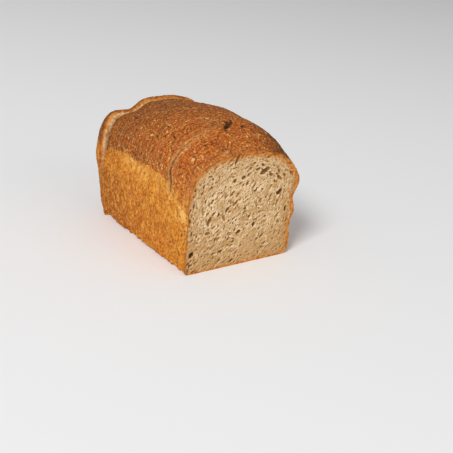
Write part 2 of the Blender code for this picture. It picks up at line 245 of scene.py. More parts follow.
# Wrinkles of the dome: place along the loaf, angles of the two ends, depth, half width, and how far one end
# lies behind the other. Then the ranges for the many small ones.
CREASES_MM = (
    (112, 2.27, 2.86, 0.9, 0.9, 1.0),
    (66.5, 2.44, 2.66, 0.7, 0.8, 1.0),
    (82, 2.44, 2.70, 0.5, 0.8, -1.0),
    (62, 2.12, 2.27, 0.8, 0.8, -2.5),
    (42, 1.40, 1.62, 0.8, 0.8, 4.0),
    (50, 1.45, 1.70, 0.6, 0.7, -3.0),
)
SMALL_CREASES = 40
CREASE_ANGLES = (1.15, 2.7)
CREASE_HALF_ANGLES = (0.07, 0.26)
CREASE_PLACES = (4 * MM, 150 * MM)
CREASE_DEPTHS_MM = (0.25, 0.6)
CREASE_HALF_WIDTHS_MM = (0.6, 1.0)
CREASE_SLANTS_MM = (-4.0, 4.0)
CREASE_SEED = 5

CRUST_BUMP = 0.6 * MM
CRUMB_BUMP = 0.2 * MM

# The camera, in the bread's own coordinates, turned from looking straight back along the loaf.
CAMERA_PLACE = Vector((-0.3625955, -0.4515041, 0.2957754))
CAMERA_TURN = 0.6545
CAMERA_TILT = 0.425
CAMERA_ROLL = 0.1108
CAMERA_FOCAL = 60.4  # in millimetres
CAMERA_SENSOR = 36.0
CAMERA_REACH = (0.05, 50.0)

LAMP_TARGET = Vector((0.0, 0.0, 0.06))
KEY_PLACE = (-2.5, -1.4, 2.75)
KEY_SIZE = 1.25
FILL_PLACE = (1.0, -2.8, 1.4)
FILL_SIZE = 2.0
WHITE = (1.0, 1.0, 1.0, 1.0)


# Plain helpers


def deselect_all():
    if bpy.context.object and bpy.context.object.mode != "OBJECT":
        bpy.ops.object.mode_set(mode="OBJECT")
    bpy.ops.object.select_all(action="DESELECT")


def activate(piece):
    deselect_all()
    piece.select_set(True)
    bpy.context.view_layer.objects.active = piece


def set_all(made, settings):
    for name, value in settings.items():
        setattr(made, name, value)


def apply_modifier(piece, kind, **settings):
    """Adds a modifier with these settings and applies it."""
    activate(piece)
    made = piece.modifiers.new(kind.lower(), kind)
    set_all(made, settings)
    bpy.ops.object.modifier_apply(modifier=made.name)


def remove(piece):
    bpy.data.objects.remove(piece, do_unlink=True)


def rename(piece, name):
    piece.name = piece.data.name = name


def added(add, name, **settings):
    """What this operator adds, alone selected and named, with its place, turn and scale applied to a mesh."""
    deselect_all()
    add(**settings)
    made = bpy.context.object
    rename(made, name)
    if made.type == "MESH":
        bpy.ops.object.transform_apply(location=True, rotation=True, scale=True)
    return made


def numbers_of(items, name, columns=1, kind=np.float32):
    """What each vertex, edge or corner has under this name, as an array with a row for each."""
    found = np.empty(len(items) * columns, kind)
    items.foreach_get(name, found)
    return found.reshape(-1, columns) if columns > 1 else found


def points_of(piece):
    """The vertices of the piece as an array of points."""
    return numbers_of(piece.data.vertices, "co", 3).astype(float)


def normals_of(piece):
    return numbers_of(piece.data.vertices, "normal", 3).astype(float)


def ends_of_edges(piece):
    return numbers_of(piece.data.edges, "vertices", 2, np.int32)


def move_points(piece, points):
    piece.data.vertices.foreach_set("co", points.astype(np.float32).ravel())
    piece.data.update()


def write_attributes(piece, **numbers):
    """Numbers for each vertex, under the names by which the materials read them."""
    layers = piece.data.attributes
    for name, values in numbers.items():
        layer = layers.get(name) or layers.new(name, "FLOAT", "POINT")
        layer.data.foreach_set("value", np.asarray(values, np.float32))


def read_attribute(piece, name):
    return numbers_of(piece.data.attributes[name].data, "value")


def select_faces(piece, chosen):
    """Selects the faces whose flags are true, in face select mode."""
    activate(piece)
    bpy.ops.object.mode_set(mode="EDIT")
    bpy.ops.mesh.select_mode(type="FACE")
    bpy.ops.mesh.select_all(action="DESELECT")
    bpy.ops.object.mode_set(mode="OBJECT")
    piece.data.polygons.foreach_set("select", np.asarray(chosen, bool))
    bpy.ops.object.mode_set(mode="EDIT")


def smooth(low, high, values):
    """0 at low, 1 at high, and between them an even rise."""
    t = np.clip((values - low) / (high - low), 0.0, 1.0)
    return t * t * (3.0 - 2.0 * t)


def fade(low, high, values):
    """The same between two lengths in millimetres."""
    return smooth(low * MM, high * MM, values)


def bell(values):
    """1 at 0, sinking to 0 on both sides."""
    return np.exp(-(values**2))


def noise_at(points, size, offset=0.0, unit=MM):
    """Blender's noise at an array of points, with lumps of this many millimetres, which may differ by axis.
    Each offset gives a pattern of its own."""
    return np.array([noise.noise(place) for place in (points / (np.array(size) * unit) + offset).tolist()])


def tree_of(places):
    """The places, sorted so that the nearest is found quickly."""
    tree = kdtree.KDTree(len(places))
    for number, place in enumerate(places):
        tree.insert(place, number)
    tree.balance()
    return tree


# The whole bread


def wall(half_base, half_rim, height):
    """Half width of the straight sides at this height."""
    return half_base + (half_rim - half_base) * min(height / RIM_HEIGHT, 1.0)


def section_points(place, crown, middle, base, rim):
    """One cross-section of the cage as (x, z), anticlockwise from the left end of the base."""
    points = [(middle + part * base, 0.0) for part in BASE_FRACTIONS]
    points.append((middle + base, BASE_CORNER_HEIGHT))
    fade_start, fade_end, faded = WAVE_FADE
    wave = 1.0 - (1.0 - faded) * smooth(fade_start, fade_end, place)
    for height, offset in RIGHT_WALL_WAVE_MM:
        points.append((middle + wall(base, rim, height * MM) + wave * offset * MM, height * MM))
    for step in range(DOME_POINTS):
        angle = math.pi * (step + 1) / (DOME_POINTS + 1)
        across = math.cos(angle)
        power = 2.0 / (DOME_POWER_RIGHT if across > 0 else DOME_POWER_LEFT)
        x = math.copysign(abs(across) ** power, across) * rim
        points.append((middle + x, RIM_HEIGHT + math.sin(angle) ** power * (crown - RIM_HEIGHT)))
    for height in reversed(LEFT_WALL_HEIGHTS_MM):
        points.append((middle - wall(base, rim, height * MM), height * MM))
    points.append((middle - base, BASE_CORNER_HEIGHT))
    return points


def section_ring(row):
    """The places of one ring of the cage."""
    place, crown, middle, base, rim, lean = (value * MM for value in row[:-1])
    heart = Vector((middle, 0.0, crown / 2))
    ring = []
    for x, z in section_points(place, crown, middle, base, rim):
        point = Vector((x, 0.0, z)).lerp(heart, row[-1])
        over_rim = max(point.z - RIM_HEIGHT, 0.0) / (crown - RIM_HEIGHT)
        point.y = place + lean * (min(point.z / RIM_HEIGHT, 1.0) - END_DRAW_IN * over_rim**2)
        ring.append(point)
    return ring


def drum(name, sides, rings):
    """A plain drum: a disc at y = 0, extruded back one unit at a time."""
    upright = (math.pi / 2, 0, 0)
    made = added(bpy.ops.mesh.primitive_circle_add, name, vertices=sides, fill_type="NGON", rotation=upright)
    bpy.ops.object.mode_set(mode="EDIT")
    bpy.ops.mesh.select_all(action="SELECT")
    for _ in range(rings - 1):
        bpy.ops.mesh.extrude_region_move(TRANSFORM_OT_translate={"value": (0, 1, 0)})
    bpy.ops.mesh.select_all(action="SELECT")
    bpy.ops.mesh.normals_make_consistent(inside=False)
    bpy.ops.object.mode_set(mode="OBJECT")
    return made


def broad_relief(points):
    """The lumps of the dough and the valley along its left shoulder."""
    lumps = sum(height * MM * noise_at(points, size) for size, height in LUMPS_MM)
    x, y, z = points.T
    across = (x - VALLEY_MIDDLE) / VALLEY_WIDTH
    along = smooth(VALLEY_START, VALLEY_FULL, y)
    over_rim = smooth(RIM_HEIGHT, RIM_HEIGHT + VALLEY_WIDTH, z)
    return lumps - VALLEY_DEPTH * bell(across) * along * over_rim


def dough(fine_levels):
    """The bread before it was baked and cut: the drum drawn into the loaf's sections, then made round."""
    rings = [section_ring(row) for row in SECTIONS_MM]
    sides = len(rings[0])
    made = drum("whole_bread", sides, len(rings))
    for vertex in made.data.vertices:
        x, y, z = vertex.co
        from_top = math.atan2(-x, z) / (2 * math.pi) * sides  # a whole number, as the disc starts at its top
        vertex.co = rings[round(y)][round(from_top) % sides]
    apply_modifier(made, "SUBSURF", levels=COARSE_LEVELS, render_levels=COARSE_LEVELS)
    points = points_of(made)
    points += normals_of(made) * broad_relief(points)[:, None]
    points[points[:, 2] <= BASE_FLAT, 2] = 0.0
    move_points(made, points)
    apply_modifier(made, "SUBSURF", levels=fine_levels, render_levels=fine_levels)
    return made


# The baked surface


def direction_over_dome(points):
    """The angle of each point as seen from the loaf's heart: 0 at the right, a quarter turn at the crown."""
    return np.arctan2(points[:, 2] - DOME_HEART[2], points[:, 0] - DOME_HEART[0])


def above_pan(points):
    """Height of each point over the line where the pan ended, with its ragged edge."""
    places, heights = np.array(PAN_LINE_MM, float).T * MM
    ragged = 2.2 * MM * noise_at(points, (30, 9, 30), 3.0) + 2.0 * MM * noise_at(points, 5)
    return points[:, 2] - np.interp(points[:, 1], places, heights) + ragged


def drift(points):
    """Places as the wrinkles see them: the dough was not rolled quite square."""
    moved = points.copy()
    moved[:, 1] += 5.0 * MM * noise_at(points, 34, 7.0) + 1.2 * MM * noise_at(points, 9, 9.0)
    return moved


def along_line(points, line, radii):
    """Distance of each point from a line of places, and the line's half width there. Far points get 1."""
    steps = np.linspace(0, len(line) - 1, 12 * len(line))
    knots = np.arange(len(line))
    dense = np.stack([np.interp(steps, knots, line[:, axis]) for axis in range(3)], axis=1)
    dense[1:-1] = (dense[:-2] + 2 * dense[1:-1] + dense[2:]) / 4
    half_widths = np.interp(steps, knots, radii)
    distance = np.ones(len(points))
    width = np.full(len(points), radii[0])
    low, high = dense.min(axis=0) - LINE_REACH, dense.max(axis=0) + LINE_REACH
    near = np.nonzero(((points > low) & (points < high)).all(axis=1))[0]
    gaps = np.linalg.norm(points[near, None] - dense[None], axis=2)
    distance[near] = gaps.min(axis=1)
    width[near] = half_widths[gaps.argmin(axis=1)]
    return distance, width


def creases(rng):
    """All wrinkles, with their lengths in metres."""
    made = []
    for place, start, end, *sizes in CREASES_MM:
        made.append((place * MM, start, end, *(size * MM for size in sizes)))
    spans = (CREASE_DEPTHS_MM, CREASE_HALF_WIDTHS_MM, CREASE_SLANTS_MM)
    for _ in range(SMALL_CREASES):
        middle = rng.uniform(*CREASE_ANGLES)
        half = rng.uniform(*CREASE_HALF_ANGLES)
        place = rng.uniform(*CREASE_PLACES)
        sizes = [rng.uniform(*span) * MM for span in spans]
        made.append((place, middle - half, middle + half, *sizes))
    return made


def crease_depth(points, angles):
    """How deep the wrinkles are at each point, and how much of the pale lip beside them it has."""
    drifted = drift(points)[:, 1]
    depth, lip = np.zeros((2, len(points)))
    for place, start, end, deepest, half_width, slant in creases(random.Random(CREASE_SEED)):
        share = (angles - start) / (end - start)
        inside = (share > 0) & (share < 1)
        gap = (drifted[inside] - place - slant * (share[inside] - 0.5)) / half_width
        ends = np.sin(np.pi * share[inside]) ** 0.5
        depth[inside] = np.maximum(depth[inside], deepest * ends * np.exp(-gap * gap))
        beside = deepest / MM * ends * bell(gap + 1.7) * fade(15, 50, place)
        lip[inside] = np.maximum(lip[inside], beside)
    return depth, lip


def cavity_depth(bread, points):
    """How deep the open blisters are at each point."""
    depth = np.zeros(len(points))
    for place_mm, size_mm, degrees in CRUST_CAVITIES_MM:
        _, place, normal, _ = bread.closest_point_on_mesh(Vector(place_mm) * MM)
        across = Vector((0.0, 1.0, 0.0)).cross(normal).normalized()
        turn = Matrix.Rotation(math.radians(degrees), 3, normal)
        length, width, deepest = np.array(size_mm) * MM / 2
        offset = points - np.array(place)
        near = np.nonzero((offset * offset).sum(axis=1) < (2 * length) ** 2)[0]
        along = offset[near] @ np.array(turn @ across) / length
        aside = offset[near] @ np.array(turn @ normal.cross(across)) / width
        ragged = 0.5 * noise_at(points[near], 3.0, 21.0) + 0.4 * noise_at(points[near], 1.2, 22.0)
        reach = np.hypot(along, aside) * (1.0 + ragged)
        depth[near] = np.maximum(depth[near], deepest * np.sqrt(np.clip(1.0 - reach * reach, 0, 1)))
    return depth


def shoulder(points, angles):
    """1 at the far end of the loaf's left shoulder, 0 on the heel behind it."""
    _, y, z = points.T
    along = smooth(98 * MM, LOAF_LENGTH, y) * fade(2.4, 0.8, y - LOAF_LENGTH)
    return along * fade(50, 66, z) * smooth(2.15, 2.45, angles)


def bake(bread, form):
    """Moves the surface of the smooth bread: wrinkles, fold and blisters on the dome, the pan's marks below.
    Also writes how browned and pale each point is, and how much painted shade it has."""
    points = points_of(bread)
    outward = normals_of(bread)
    y, z = points[:, 1], points[:, 2]
    angles = direction_over_dome(points)
    over_line = above_pan(points)
    domed = fade(-8, 6, over_line)

    # The dome's skin: long streaks and short strokes across the loaf.
    drifted = drift(points)
    streaks = 1.0 - 2.2 * np.abs(noise_at(drifted, (20, 2.6, 20), 5.0))
    strokes = noise_at(drifted, (6, 1.6, 6), 6.0) * smooth(-0.35, 0.3, noise_at(points, 9, 8.0))
    skin = form.wrinkle_height * (0.5 * streaks + 1.0 * strokes + 0.9 * noise_at(points, 2.4))

    # The sides, as the pan left them, and the scallops along the base.
    pan_side = (1.0 - domed) * smooth(0.3, 0.8, np.abs(outward[:, 0]) + np.abs(outward[:, 1]))
    dough_lumps = noise_at(points, (8, 8, 14), 11.0)
    pits = np.clip(noise_at(points, 2.6, 12.0) - 0.22, 0, 1)
    grain = noise_at(points, (1.7, 1.7, 2.8), 13.0)
    pan_marks = form.pan_roughness * (1.4 * dough_lumps + 0.8 * grain - 1.6 * pits)
    along_base = points * np.array((0.2, 1.0, 0.0))
    scallops = np.abs(noise_at(along_base, 11, 15.0)) + 0.5 * np.abs(noise_at(along_base, 4, 16.0))
    edge = 1.0 - smooth(0.0, 13 * MM, z)
    skirt = form.scallop_height * (0.5 - 2.0 * scallops) * edge

    # The fold: a groove with a raised lip on its far side.
    groove, radius = along_line(points, fold_line(bread), np.array(FOLD_RADII_MM) * MM)
    uneven = 1.0 + 0.9 * noise_at(points, 5.0, 17.0) + 0.5 * noise_at(points, 1.8, 18.0)
    over_side = smooth(1.65, 2.2, angles)
    folded = bell(groove / (0.38 * radius * uneven)) * over_side
    lip = bell((groove - 0.9 * radius) / (0.32 * radius)) * over_side * np.clip(uneven, 0.2, 1.6)
    fold = radius * (0.15 * lip - 0.8 * folded)
    wrinkled, wrinkle_lip = crease_depth(points, angles)
    wrinkled *= domed
    cavities = cavity_depth(bread, points)

    height = domed * skin + pan_side * pan_marks + skirt * (z > BASE_FLAT) + fold - wrinkled
    height += 0.2 * MM * wrinkle_lip * domed
    height = np.where(cavities > 0, -cavities, height)
    height -= SHOULDER_DRAW * shoulder(points, angles)
    height *= smooth(BASE_FLAT / 2, 2 * BASE_FLAT, z)
    moved = points + outward * height[:, None]
    moved[:, 2] = np.maximum(moved[:, 2], 0.0)
    move_points(bread, moved)

    # Painted shade: dark in the fold, the wrinkles and the blisters, and darker over the right shoulder,
    # towards the far back and along the far cut.
    in_fold = bell(groove / (0.5 * radius * uneven)) * over_side
    burnt = in_fold * (0.3 + 0.7 * smooth(2.35, 2.6, angles))
    burnt = np.maximum(burnt, 0.7 * fade(0.15, 0.7, wrinkled))
    cavity_shade = 0.9 + 0.4 * noise_at(points, 1.6, 23.0)
    burnt = np.maximum(burnt, cavity_shade * fade(0.05, 0.6, cavities))
    shaded = 0.67 * smooth(1.35, 0.8, angles) * fade(148, 125, y)
    shaded += 0.25 * fade(40, 125, y) * smooth(1.1, 1.6, angles)
    shaded += 0.2 * smooth(LOAF_LENGTH - 4 * MM, LOAF_LENGTH, y)

    # Pale on the lips, where the fold's raised lip is partly a painted highlight, and a little round the fold
    # and in front.
    lightened = 0.14 * bell(groove / (5 * MM)) * smooth(1.5, 1.8, angles)
    lightened += 0.11 * fade(14, 1, y) * smooth(1.3, 1.7, angles)
    streaked = np.where(angles > 1.9, 0.9, 0.5) * wrinkle_lip * domed
    write_attributes(
        bread,
        browning=browning(points, angles, over_line),
        darkening=np.maximum(burnt, shaded * domed),
        paleness=np.maximum(0.6 * lip, streaked) + lightened,
        gold=gold(points, angles, over_line),
        told=np.ones(len(points)),
    )


def browning(points, angles, over_line):
    """1 where the crust is brown, 0 where the pan kept it golden."""
    soft = MM * (1.5 + 3.0 * fade(70, 110, points[:, 1]))
    browned = smooth(-1.0, 1.3, over_line / soft)
    return browned * (1.0 - 0.5 * fade(30, 16, points[:, 1]) * smooth(2.4, 2.8, angles))


def gold(points, angles, over_line):
    """How pale and warm the crust is: on the sides most just under the line, on the dome towards the cut.
    Below 0 it is darker, as at the far foot."""
    _, y, z = points.T
    side = fade(-30, -2, over_line) * fade(135, 80, y)
    side = np.maximum(side, 0.6 * fade(60, 20, y))
    below = -MM * (4.0 + 8.0 * fade(95, 55, y)) - over_line
    band = bell(below / np.where(below > 0, 12 * MM, 7 * MM)) * fade(118, 95, y)
    side += 0.75 * band * smooth(-0.4, 0.4, noise_at(points, 5, 61.0))
    away = np.linalg.norm(points - PALE_PATCH, axis=1) * (1.0 + 0.7 * noise_at(points, 3.5, 67.0))
    side = np.maximum(side, 2.2 * fade(9, 2, away))
    side -= 1.2 * fade(75, 122, y) * fade(78, 35, z)
    side -= 0.4 * fade(25, 60, y) * fade(48, 10, z)
    top = fade(85, 15, y) * smooth(1.0, 1.5, angles)
    return side + (top - side) * fade(-2, 2, over_line)


def fold_line(bread):
    """The fold's line, drawn on to the surface."""
    found = [bread.closest_point_on_mesh(Vector(place) * MM)[1] for place in FOLD_POINTS_MM]
    return np.array(found)


# Cutting


def knife_block(name, low, high, cut_sides):
    """A block for the knife to keep. cut_sides gives, for a side's normal, its material and the number of
    cuts of each subdivision, so that the crumb it leaves is fine enough to be opened into pores."""
    middle = [(a + b) / 2 for a, b in zip(low, high)]
    size = [b - a for a, b in zip(low, high)]
    block = added(bpy.ops.mesh.primitive_cube_add, name, size=1.0, location=middle, scale=size)
    for normal, (material, cuts) in cut_sides.items():
        block.data.materials.append(material)
        slot = len(block.data.materials) - 1
        facing = [face.normal.dot(Vector(normal)) > 0.9 for face in block.data.polygons]
        for face, chosen in zip(block.data.polygons, facing):
            if chosen:
                face.material_index = slot
        select_faces(block, facing)
        for count in cuts:
            bpy.ops.mesh.subdivide(number_cuts=count)
        bpy.ops.object.mode_set(mode="OBJECT")
    return block


def cut(piece, tool, operation):
    """Keeps what lies inside the tool, or takes it away, and then removes the tool."""
    settings = {"operation": operation, "object": tool, "solver": "MANIFOLD", "material_mode": "TRANSFER"}
    apply_modifier(piece, "BOOLEAN", **settings)
    remove(tool)


def crack_blade(material):
    """The lumpy blade that opens the crack in the top edge of the front cut."""
    down = CRACK_FOOT - CRACK_TOP
    blade = added(
        bpy.ops.mesh.primitive_ico_sphere_add,
        "crack_blade",
        subdivisions=5,
        radius=1.0,
        scale=(CRACK_WIDTH / 2, CRACK_DEPTH, down.length),
        location=CRACK_TOP + CRACK_OFFSET,
        rotation=(0.0, math.atan2(down.x, down.z), 0.0),
    )
    blade.data.materials.append(material)
    points = points_of(blade)
    for height, size, offset in ((0.7, 3, 31.0), (0.3, 1.1, 33.0)):
        points[:, 0] += height * MM * noise_at(points, size, offset)
    move_points(blade, points)
    return blade


def parted(piece, names):
    """The piece separated by material. names gives, for each material's name, that of its new piece."""
    activate(piece)
    bpy.ops.object.mode_set(mode="EDIT")
    bpy.ops.mesh.select_all(action="SELECT")
    bpy.ops.mesh.separate(type="MATERIAL")
    bpy.ops.object.mode_set(mode="OBJECT")
    found = {}
    for part in bpy.context.selected_objects:
        material = part.material_slots[part.data.polygons[0].material_index].material
        part.data.materials.clear()
        part.data.materials.append(material)
        found[material.name] = part
    for old, new in names.items():
        rename(found[old], new)
    return [found[old] for old in names]


def plain_base(crust):
    """Joins the flat faces of the underside into a few large ones."""
    select_faces(crust, [f.normal.z < -0.999 and f.center.z < BASE_FLAT / 4 for f in crust.data.polygons])
    bpy.ops.mesh.dissolve_limited(angle_limit=math.radians(0.5))
    bpy.ops.object.mode_set(mode="OBJECT")


def place_in_frame(piece, body="root"):
    """Moves the finished mesh to the frame's place, shades it smooth, and hands it to its body."""
    piece.data.transform(Matrix.Translation(-MIDDLE))
    activate(piece)
    bpy.ops.object.shade_smooth()
    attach(piece, body)


# The crumb


def grain_turn(x, z):
    """The way the crumb's pores lie at a place of the cut, between the ways given for the places round it."""
    across = up = 0.0
    for place_x, place_z, degrees in GRAIN_MM:
        gap = (x - place_x * MM) ** 2 + (z - place_z * MM) ** 2 + GRAIN_REACH**2
        doubled = 2 * math.radians(degrees)
        across += math.cos(doubled) / gap**2
        up += math.sin(doubled) / gap**2
    return math.atan2(up, across) / 2


def named_pores():
    """The larger pores: where the loaf's form has them. Each is x, z, length, width, turn and depth."""
    made = []
    for x, z, length, width, degrees, deepest in LARGE_PORES_MM:
        size = (PORE_OPENING * length * MM, PORE_OPENING * width * MM)
        made.append((x * MM, z * MM, *size, math.radians(degrees), deepest * MM))
    rng = random.Random(PORE_SEED)
    places = [Vector((pore[0], 0.0, pore[1])) for pore in made]
    while len(made) < len(LARGE_PORES_MM) + SMALL_PORES:
        place = Vector((rng.uniform(-FACE_HALF_WIDTH, FACE_HALF_WIDTH), 0.0, rng.uniform(*FACE_HEIGHTS)))
        if min((place - other).length for other in places) <= PORE_SPACING:
            continue
        places.append(place)
        length = rng.uniform(*SMALL_PORE_LENGTHS)
        width = length * rng.uniform(*SMALL_PORE_SLENDERNESS)
        outward = place - SWIRL_MIDDLE
        turn = math.atan2(outward.x, -outward.z) + rng.gauss(0.0, SWIRL_SPREAD)
        made.append((place.x, place.z, length, width, turn, SMALL_PORE_DEPTH * width))
    return made


def fine_pores(count, rng):
    """The many smaller pores between them."""
    shortest, longest = FINE_PORE_LIMITS_MM
    made = []
    for _ in range(count):
        x = rng.uniform(-FINE_PORE_REACH, FINE_PORE_REACH)
        z = rng.uniform(0.0, FINE_PORE_TOP)
        length = rng.lognormvariate(math.log(FINE_PORE_LENGTH_MM), FINE_PORE_SPREAD)
        length = min(max(length, shortest), longest) * MM
        width = length * rng.uniform(*FINE_PORE_SLENDERNESS)
        turn = grain_turn(x, z) + rng.gauss(0.0, FINE_PORE_STRAYING)
        made.append((x, z, length, width, turn, width * rng.uniform(*FINE_PORE_DEPTHS)))
    return made


def warped(across, up):
    """Places in a cut face, shaken so that no pore is a plain ellipse."""
    flat = np.stack([across, np.zeros(len(across)), up], axis=1)
    return across + PORE_WARP * noise_at(flat, 1.5, 41.0), up + PORE_WARP * noise_at(flat, 1.5, 43.0)


def pore_depths(across, up, pores):
    """How deep the larger pores are at each point of a cut face."""
    across, up = warped(across, up)
    tree = tree_of([(x, z, 0.0) for x, z in zip(across.tolist(), up.tolist())])
    depth = np.zeros(len(across))
    for x, z, length, width, turn, deepest in pores:
        near = np.array([found[1] for found in tree.find_range((x, z, 0.0), length / 2)], int)
        if not len(near):
            continue
        dx, dz = across[near] - x, up[near] - z
        along = (dx * math.cos(turn) + dz * math.sin(turn)) / (length / 2)
        aside = (dz * math.cos(turn) - dx * math.sin(turn)) / (width / 2)
        share = np.clip(1.0 - along * along - aside * aside, 0, 1) ** 0.35
        depth[near] = np.maximum(depth[near], deepest * share)
    return depth


def hollows(across, up, spacing, rng):
    """Hollows side by side that lie along the grain. Gives for each point how far into one it is, from 0 at
    the edge to 1, the hollow's half width, and a chance number of its own."""
    area_width, area_height = CELL_AREA
    seeds = []
    for column in range(round(area_width / spacing)):
        for row in range(round(area_height / spacing)):
            x = (column + rng.random()) * spacing - area_width / 2
            z = (row + rng.random()) * spacing
            length = spacing * rng.uniform(*CELL_LENGTHS)
            turn = grain_turn(x, z) + rng.gauss(0.0, CELL_STRAYING)
            width = length * rng.uniform(*CELL_SLENDERNESS)
            seeds.append((x, z, math.cos(turn), math.sin(turn), length, width, rng.random()))
    tree = tree_of([(x, z, 0.0) for x, z, *_ in seeds])
    places = zip(across.tolist(), up.tolist())
    nearest = np.array([[found[1] for found in tree.find_n((x, z, 0.0), 5)] for x, z in places])
    x, z, cosine, sine, length, width, chance = np.array(seeds)[nearest].transpose(2, 0, 1)
    dx, dz = across[:, None] - x, up[:, None] - z
    along = (dx * cosine + dz * sine) / length
    aside = (dz * cosine - dx * sine) / width
    share = 1.0 - along * along - aside * aside
    best = share.argmax(axis=1)[:, None]
    found = [np.take_along_axis(values, best, axis=1)[:, 0] for values in (share, width, chance)]
    return np.clip(found[0], 0, 1), *found[1:]


def cell_depths(across, up, rng):
    """How deep the crumb's own cells are at each point of a cut face, and the tone of each place: 0 to 1."""
    across, up = warped(across, up)
    share, width, chance = hollows(across, up, CELL_SPACING, rng)
    depth = share * width * (0.35 + 1.2 * chance**2)
    share, width, chance = hollows(across, up, GAP_SPACING, rng)
    depth = np.maximum(depth, share**0.6 * width * 1.1 * smooth(0.4, 1.0, chance))
    flat = np.stack([across, up, up], axis=1)
    tone = 0.6 * chance + 0.9 * noise_at(flat, 5, 47.0) + 0.2
    return depth * (1.0 + 0.6 * noise_at(flat, 9, 45.0)), tone


def neighbour_mean(piece, values, rounds):
    """The values, each drawn towards those of its neighbours this many times."""
    first, second = ends_of_edges(piece).T
    count = len(values)
    links = np.maximum(np.bincount(first, minlength=count) + np.bincount(second, minlength=count), 1)
    for _ in range(rounds):
        total = np.bincount(first, values[second], count) + np.bincount(second, values[first], count)
        values = (values + total / links) / 2
    return values


def distance_from_crust(piece, points):
    """How far each point of a cut face lies from its outline, whose edges belong to one face only."""
    sides = numbers_of(piece.data.loops, "edge_index", 1, np.int32)
    uses = np.bincount(sides, minlength=len(piece.data.edges))
    outline = tree_of(points[np.unique(ends_of_edges(piece)[uses == 1])])
    return np.array([outline.find(place)[2] for place in points.tolist()])


def open_crumb(piece, inward, pores, rough, toast, seed, openness=1.0, swell=None):
    """Opens pores in a cut face by moving its points inward, and writes what the material reads."""
    points = points_of(piece)
    x, _, z = points.T
    facing = np.abs(normals_of(piece)[:, 1])
    in_crack = CRACK_SHADE * smooth(0.9, 0.5, facing)  # the face is flat but for the crack's walls
    inset = distance_from_crust(piece, points)
    cells, tone = cell_depths(x, z, random.Random(seed))
    depth = openness * np.maximum(pore_depths(x, z, pores), cells)
    depth = neighbour_mean(piece, depth, 1)
    rise = rough * (noise_at(points, 1.0, 51.0) + 1.3 * noise_at(points, 2.6, 53.0))
    free = fade(0.1, 1.6, inset)
    sunk = (depth - rise) * free
    if swell:
        sunk -= swell(points, inset)
    move_points(piece, points + np.array(inward) * sunk[:, None])
    around = neighbour_mean(piece, sunk, 30)
    tone = neighbour_mean(piece, tone, 8) - 0.5 * fade(60, 98, z)
    tone += 0.2 * fade(-5, 50, x) + 0.2 * fade(-40, -56, x)
    # hollow and pit carry painted shade into the pores and a painted highlight on the walls between them
    write_attributes(
        piece,
        hollow=np.clip((depth * free + in_crack) / HOLLOW_DARKEST, 0, 1),
        pit=np.clip((sunk - around) / PIT_DARKEST, -1, 1),
        inset=toast(points, inset),
        tone=tone + 0.45 * fade(42, 10, z),
    )


def loaf_toast(points, inset):
    """How far in from the crust each point of a loaf's cut is, in units of the toasted rim, which is thinnest
    where the pan was, on the left."""
    x, _, z = points.T
    return inset / (MM * np.maximum(2.3 + 3.1 * fade(54, 80, z), 1.2 + 3.0 * fade(25, 48, x)))


def heel_toast(points, inset):
    """The same for the heel, which is browned further in, and through and through towards its base."""
    rim = np.interp(inset, np.array(HEEL_RIM_MM) * MM, HEEL_RIM_TOAST)
    rim *= 1.0 - 0.35 * fade(90, 106, points[:, 2])
    return rim + (0.5 - rim) * fade(56, 40, points[:, 2])


def heel_swell(points, inset):
    """How far the heel's crumb swells out of its cut, which leaves the loaf behind it by the lean."""
    gap = HEEL_GAP + points[:, 2] * math.tan(HEEL_LEAN)
    return 0.5 * gap * fade(0.3, 4.0, inset)


# Bran flakes


def flake_places(count, along_range, rng):
    """Places as (distance along the loaf, angle over the dome), closer together towards the front."""
    places = []
    while len(places) < count:
        along = rng.uniform(*along_range)
        angle = rng.uniform(*FLAKE_ANGLES)
        thinned = rng.random() < FLAKE_THINNING * along / LOAF_LENGTH
        gaps = [math.hypot(along - a, (angle - b) * DOME_RADIUS) for a, b in places]
        if not thinned and min(gaps, default=1.0) > FLAKE_SPACING:
            places.append((along, angle))
    return places


def frame_on(normal, turn):
    """A rotation whose Z is the normal, and whose X is turned round it by this angle from across the loaf."""
    faces_back = abs(normal.y) >= 0.7  # where the loaf's length is no longer a guide
    along = Vector((0.0, 0.0, 1.0)) if faces_back else Vector((0.0, 1.0, 0.0))
    x_axis = along.cross(normal).normalized()
    base = Matrix((x_axis, normal.cross(x_axis), normal)).transposed()
    return Matrix.Rotation(turn, 3, normal) @ base


def flake_shape(material, subdivisions):
    """One flake, a lens a unit long, wide and thick."""
    made = added(bpy.ops.mesh.primitive_ico_sphere_add, "flake", subdivisions=subdivisions, radius=0.5)
    made.data.materials.append(material)
    return made


def lay_flake(shape, place, normal, size, turn, rng):
    """A copy of the flake with its own mesh and its own ragged and curled form, laid on the crust."""
    flake = shape.copy()
    flake.data = shape.data.copy()
    bpy.context.scene.collection.objects.link(flake)
    seed = rng.random() * 100.0
    matrix = Matrix.Translation(place) @ frame_on(normal, turn).to_4x4() @ Matrix.Diagonal((*size, 1.0))
    points = points_of(flake)
    points[:, :2] *= (1.0 + FLAKE_RAGGEDNESS * noise_at(points, FLAKE_RAG_SIZE, seed, unit=1.0))[:, None]
    points[:, 2] += rng.uniform(-FLAKE_CURL, FLAKE_CURL) * points[:, 0] * points[:, 1]
    move_points(flake, points)
    flake.data.transform(matrix)
    return flake


def joined(name, parts):
    deselect_all()
    for part in parts:
        part.select_set(True)
    bpy.context.view_layer.objects.active = parts[0]
    bpy.ops.object.join()
    rename(parts[0], name)
    return parts[0]


# Materials


def add_node(tree, kind, inputs=(), **settings):
    """A new node. inputs maps a socket's name or number to a value or to the output that feeds it."""
    made = tree.nodes.new(kind)
    set_all(made, settings)
    for name, value in dict(inputs).items():
        if isinstance(value, bpy.types.NodeSocket):
            tree.links.new(value, made.inputs[name])
        else:
            made.inputs[name].default_value = value
    return made


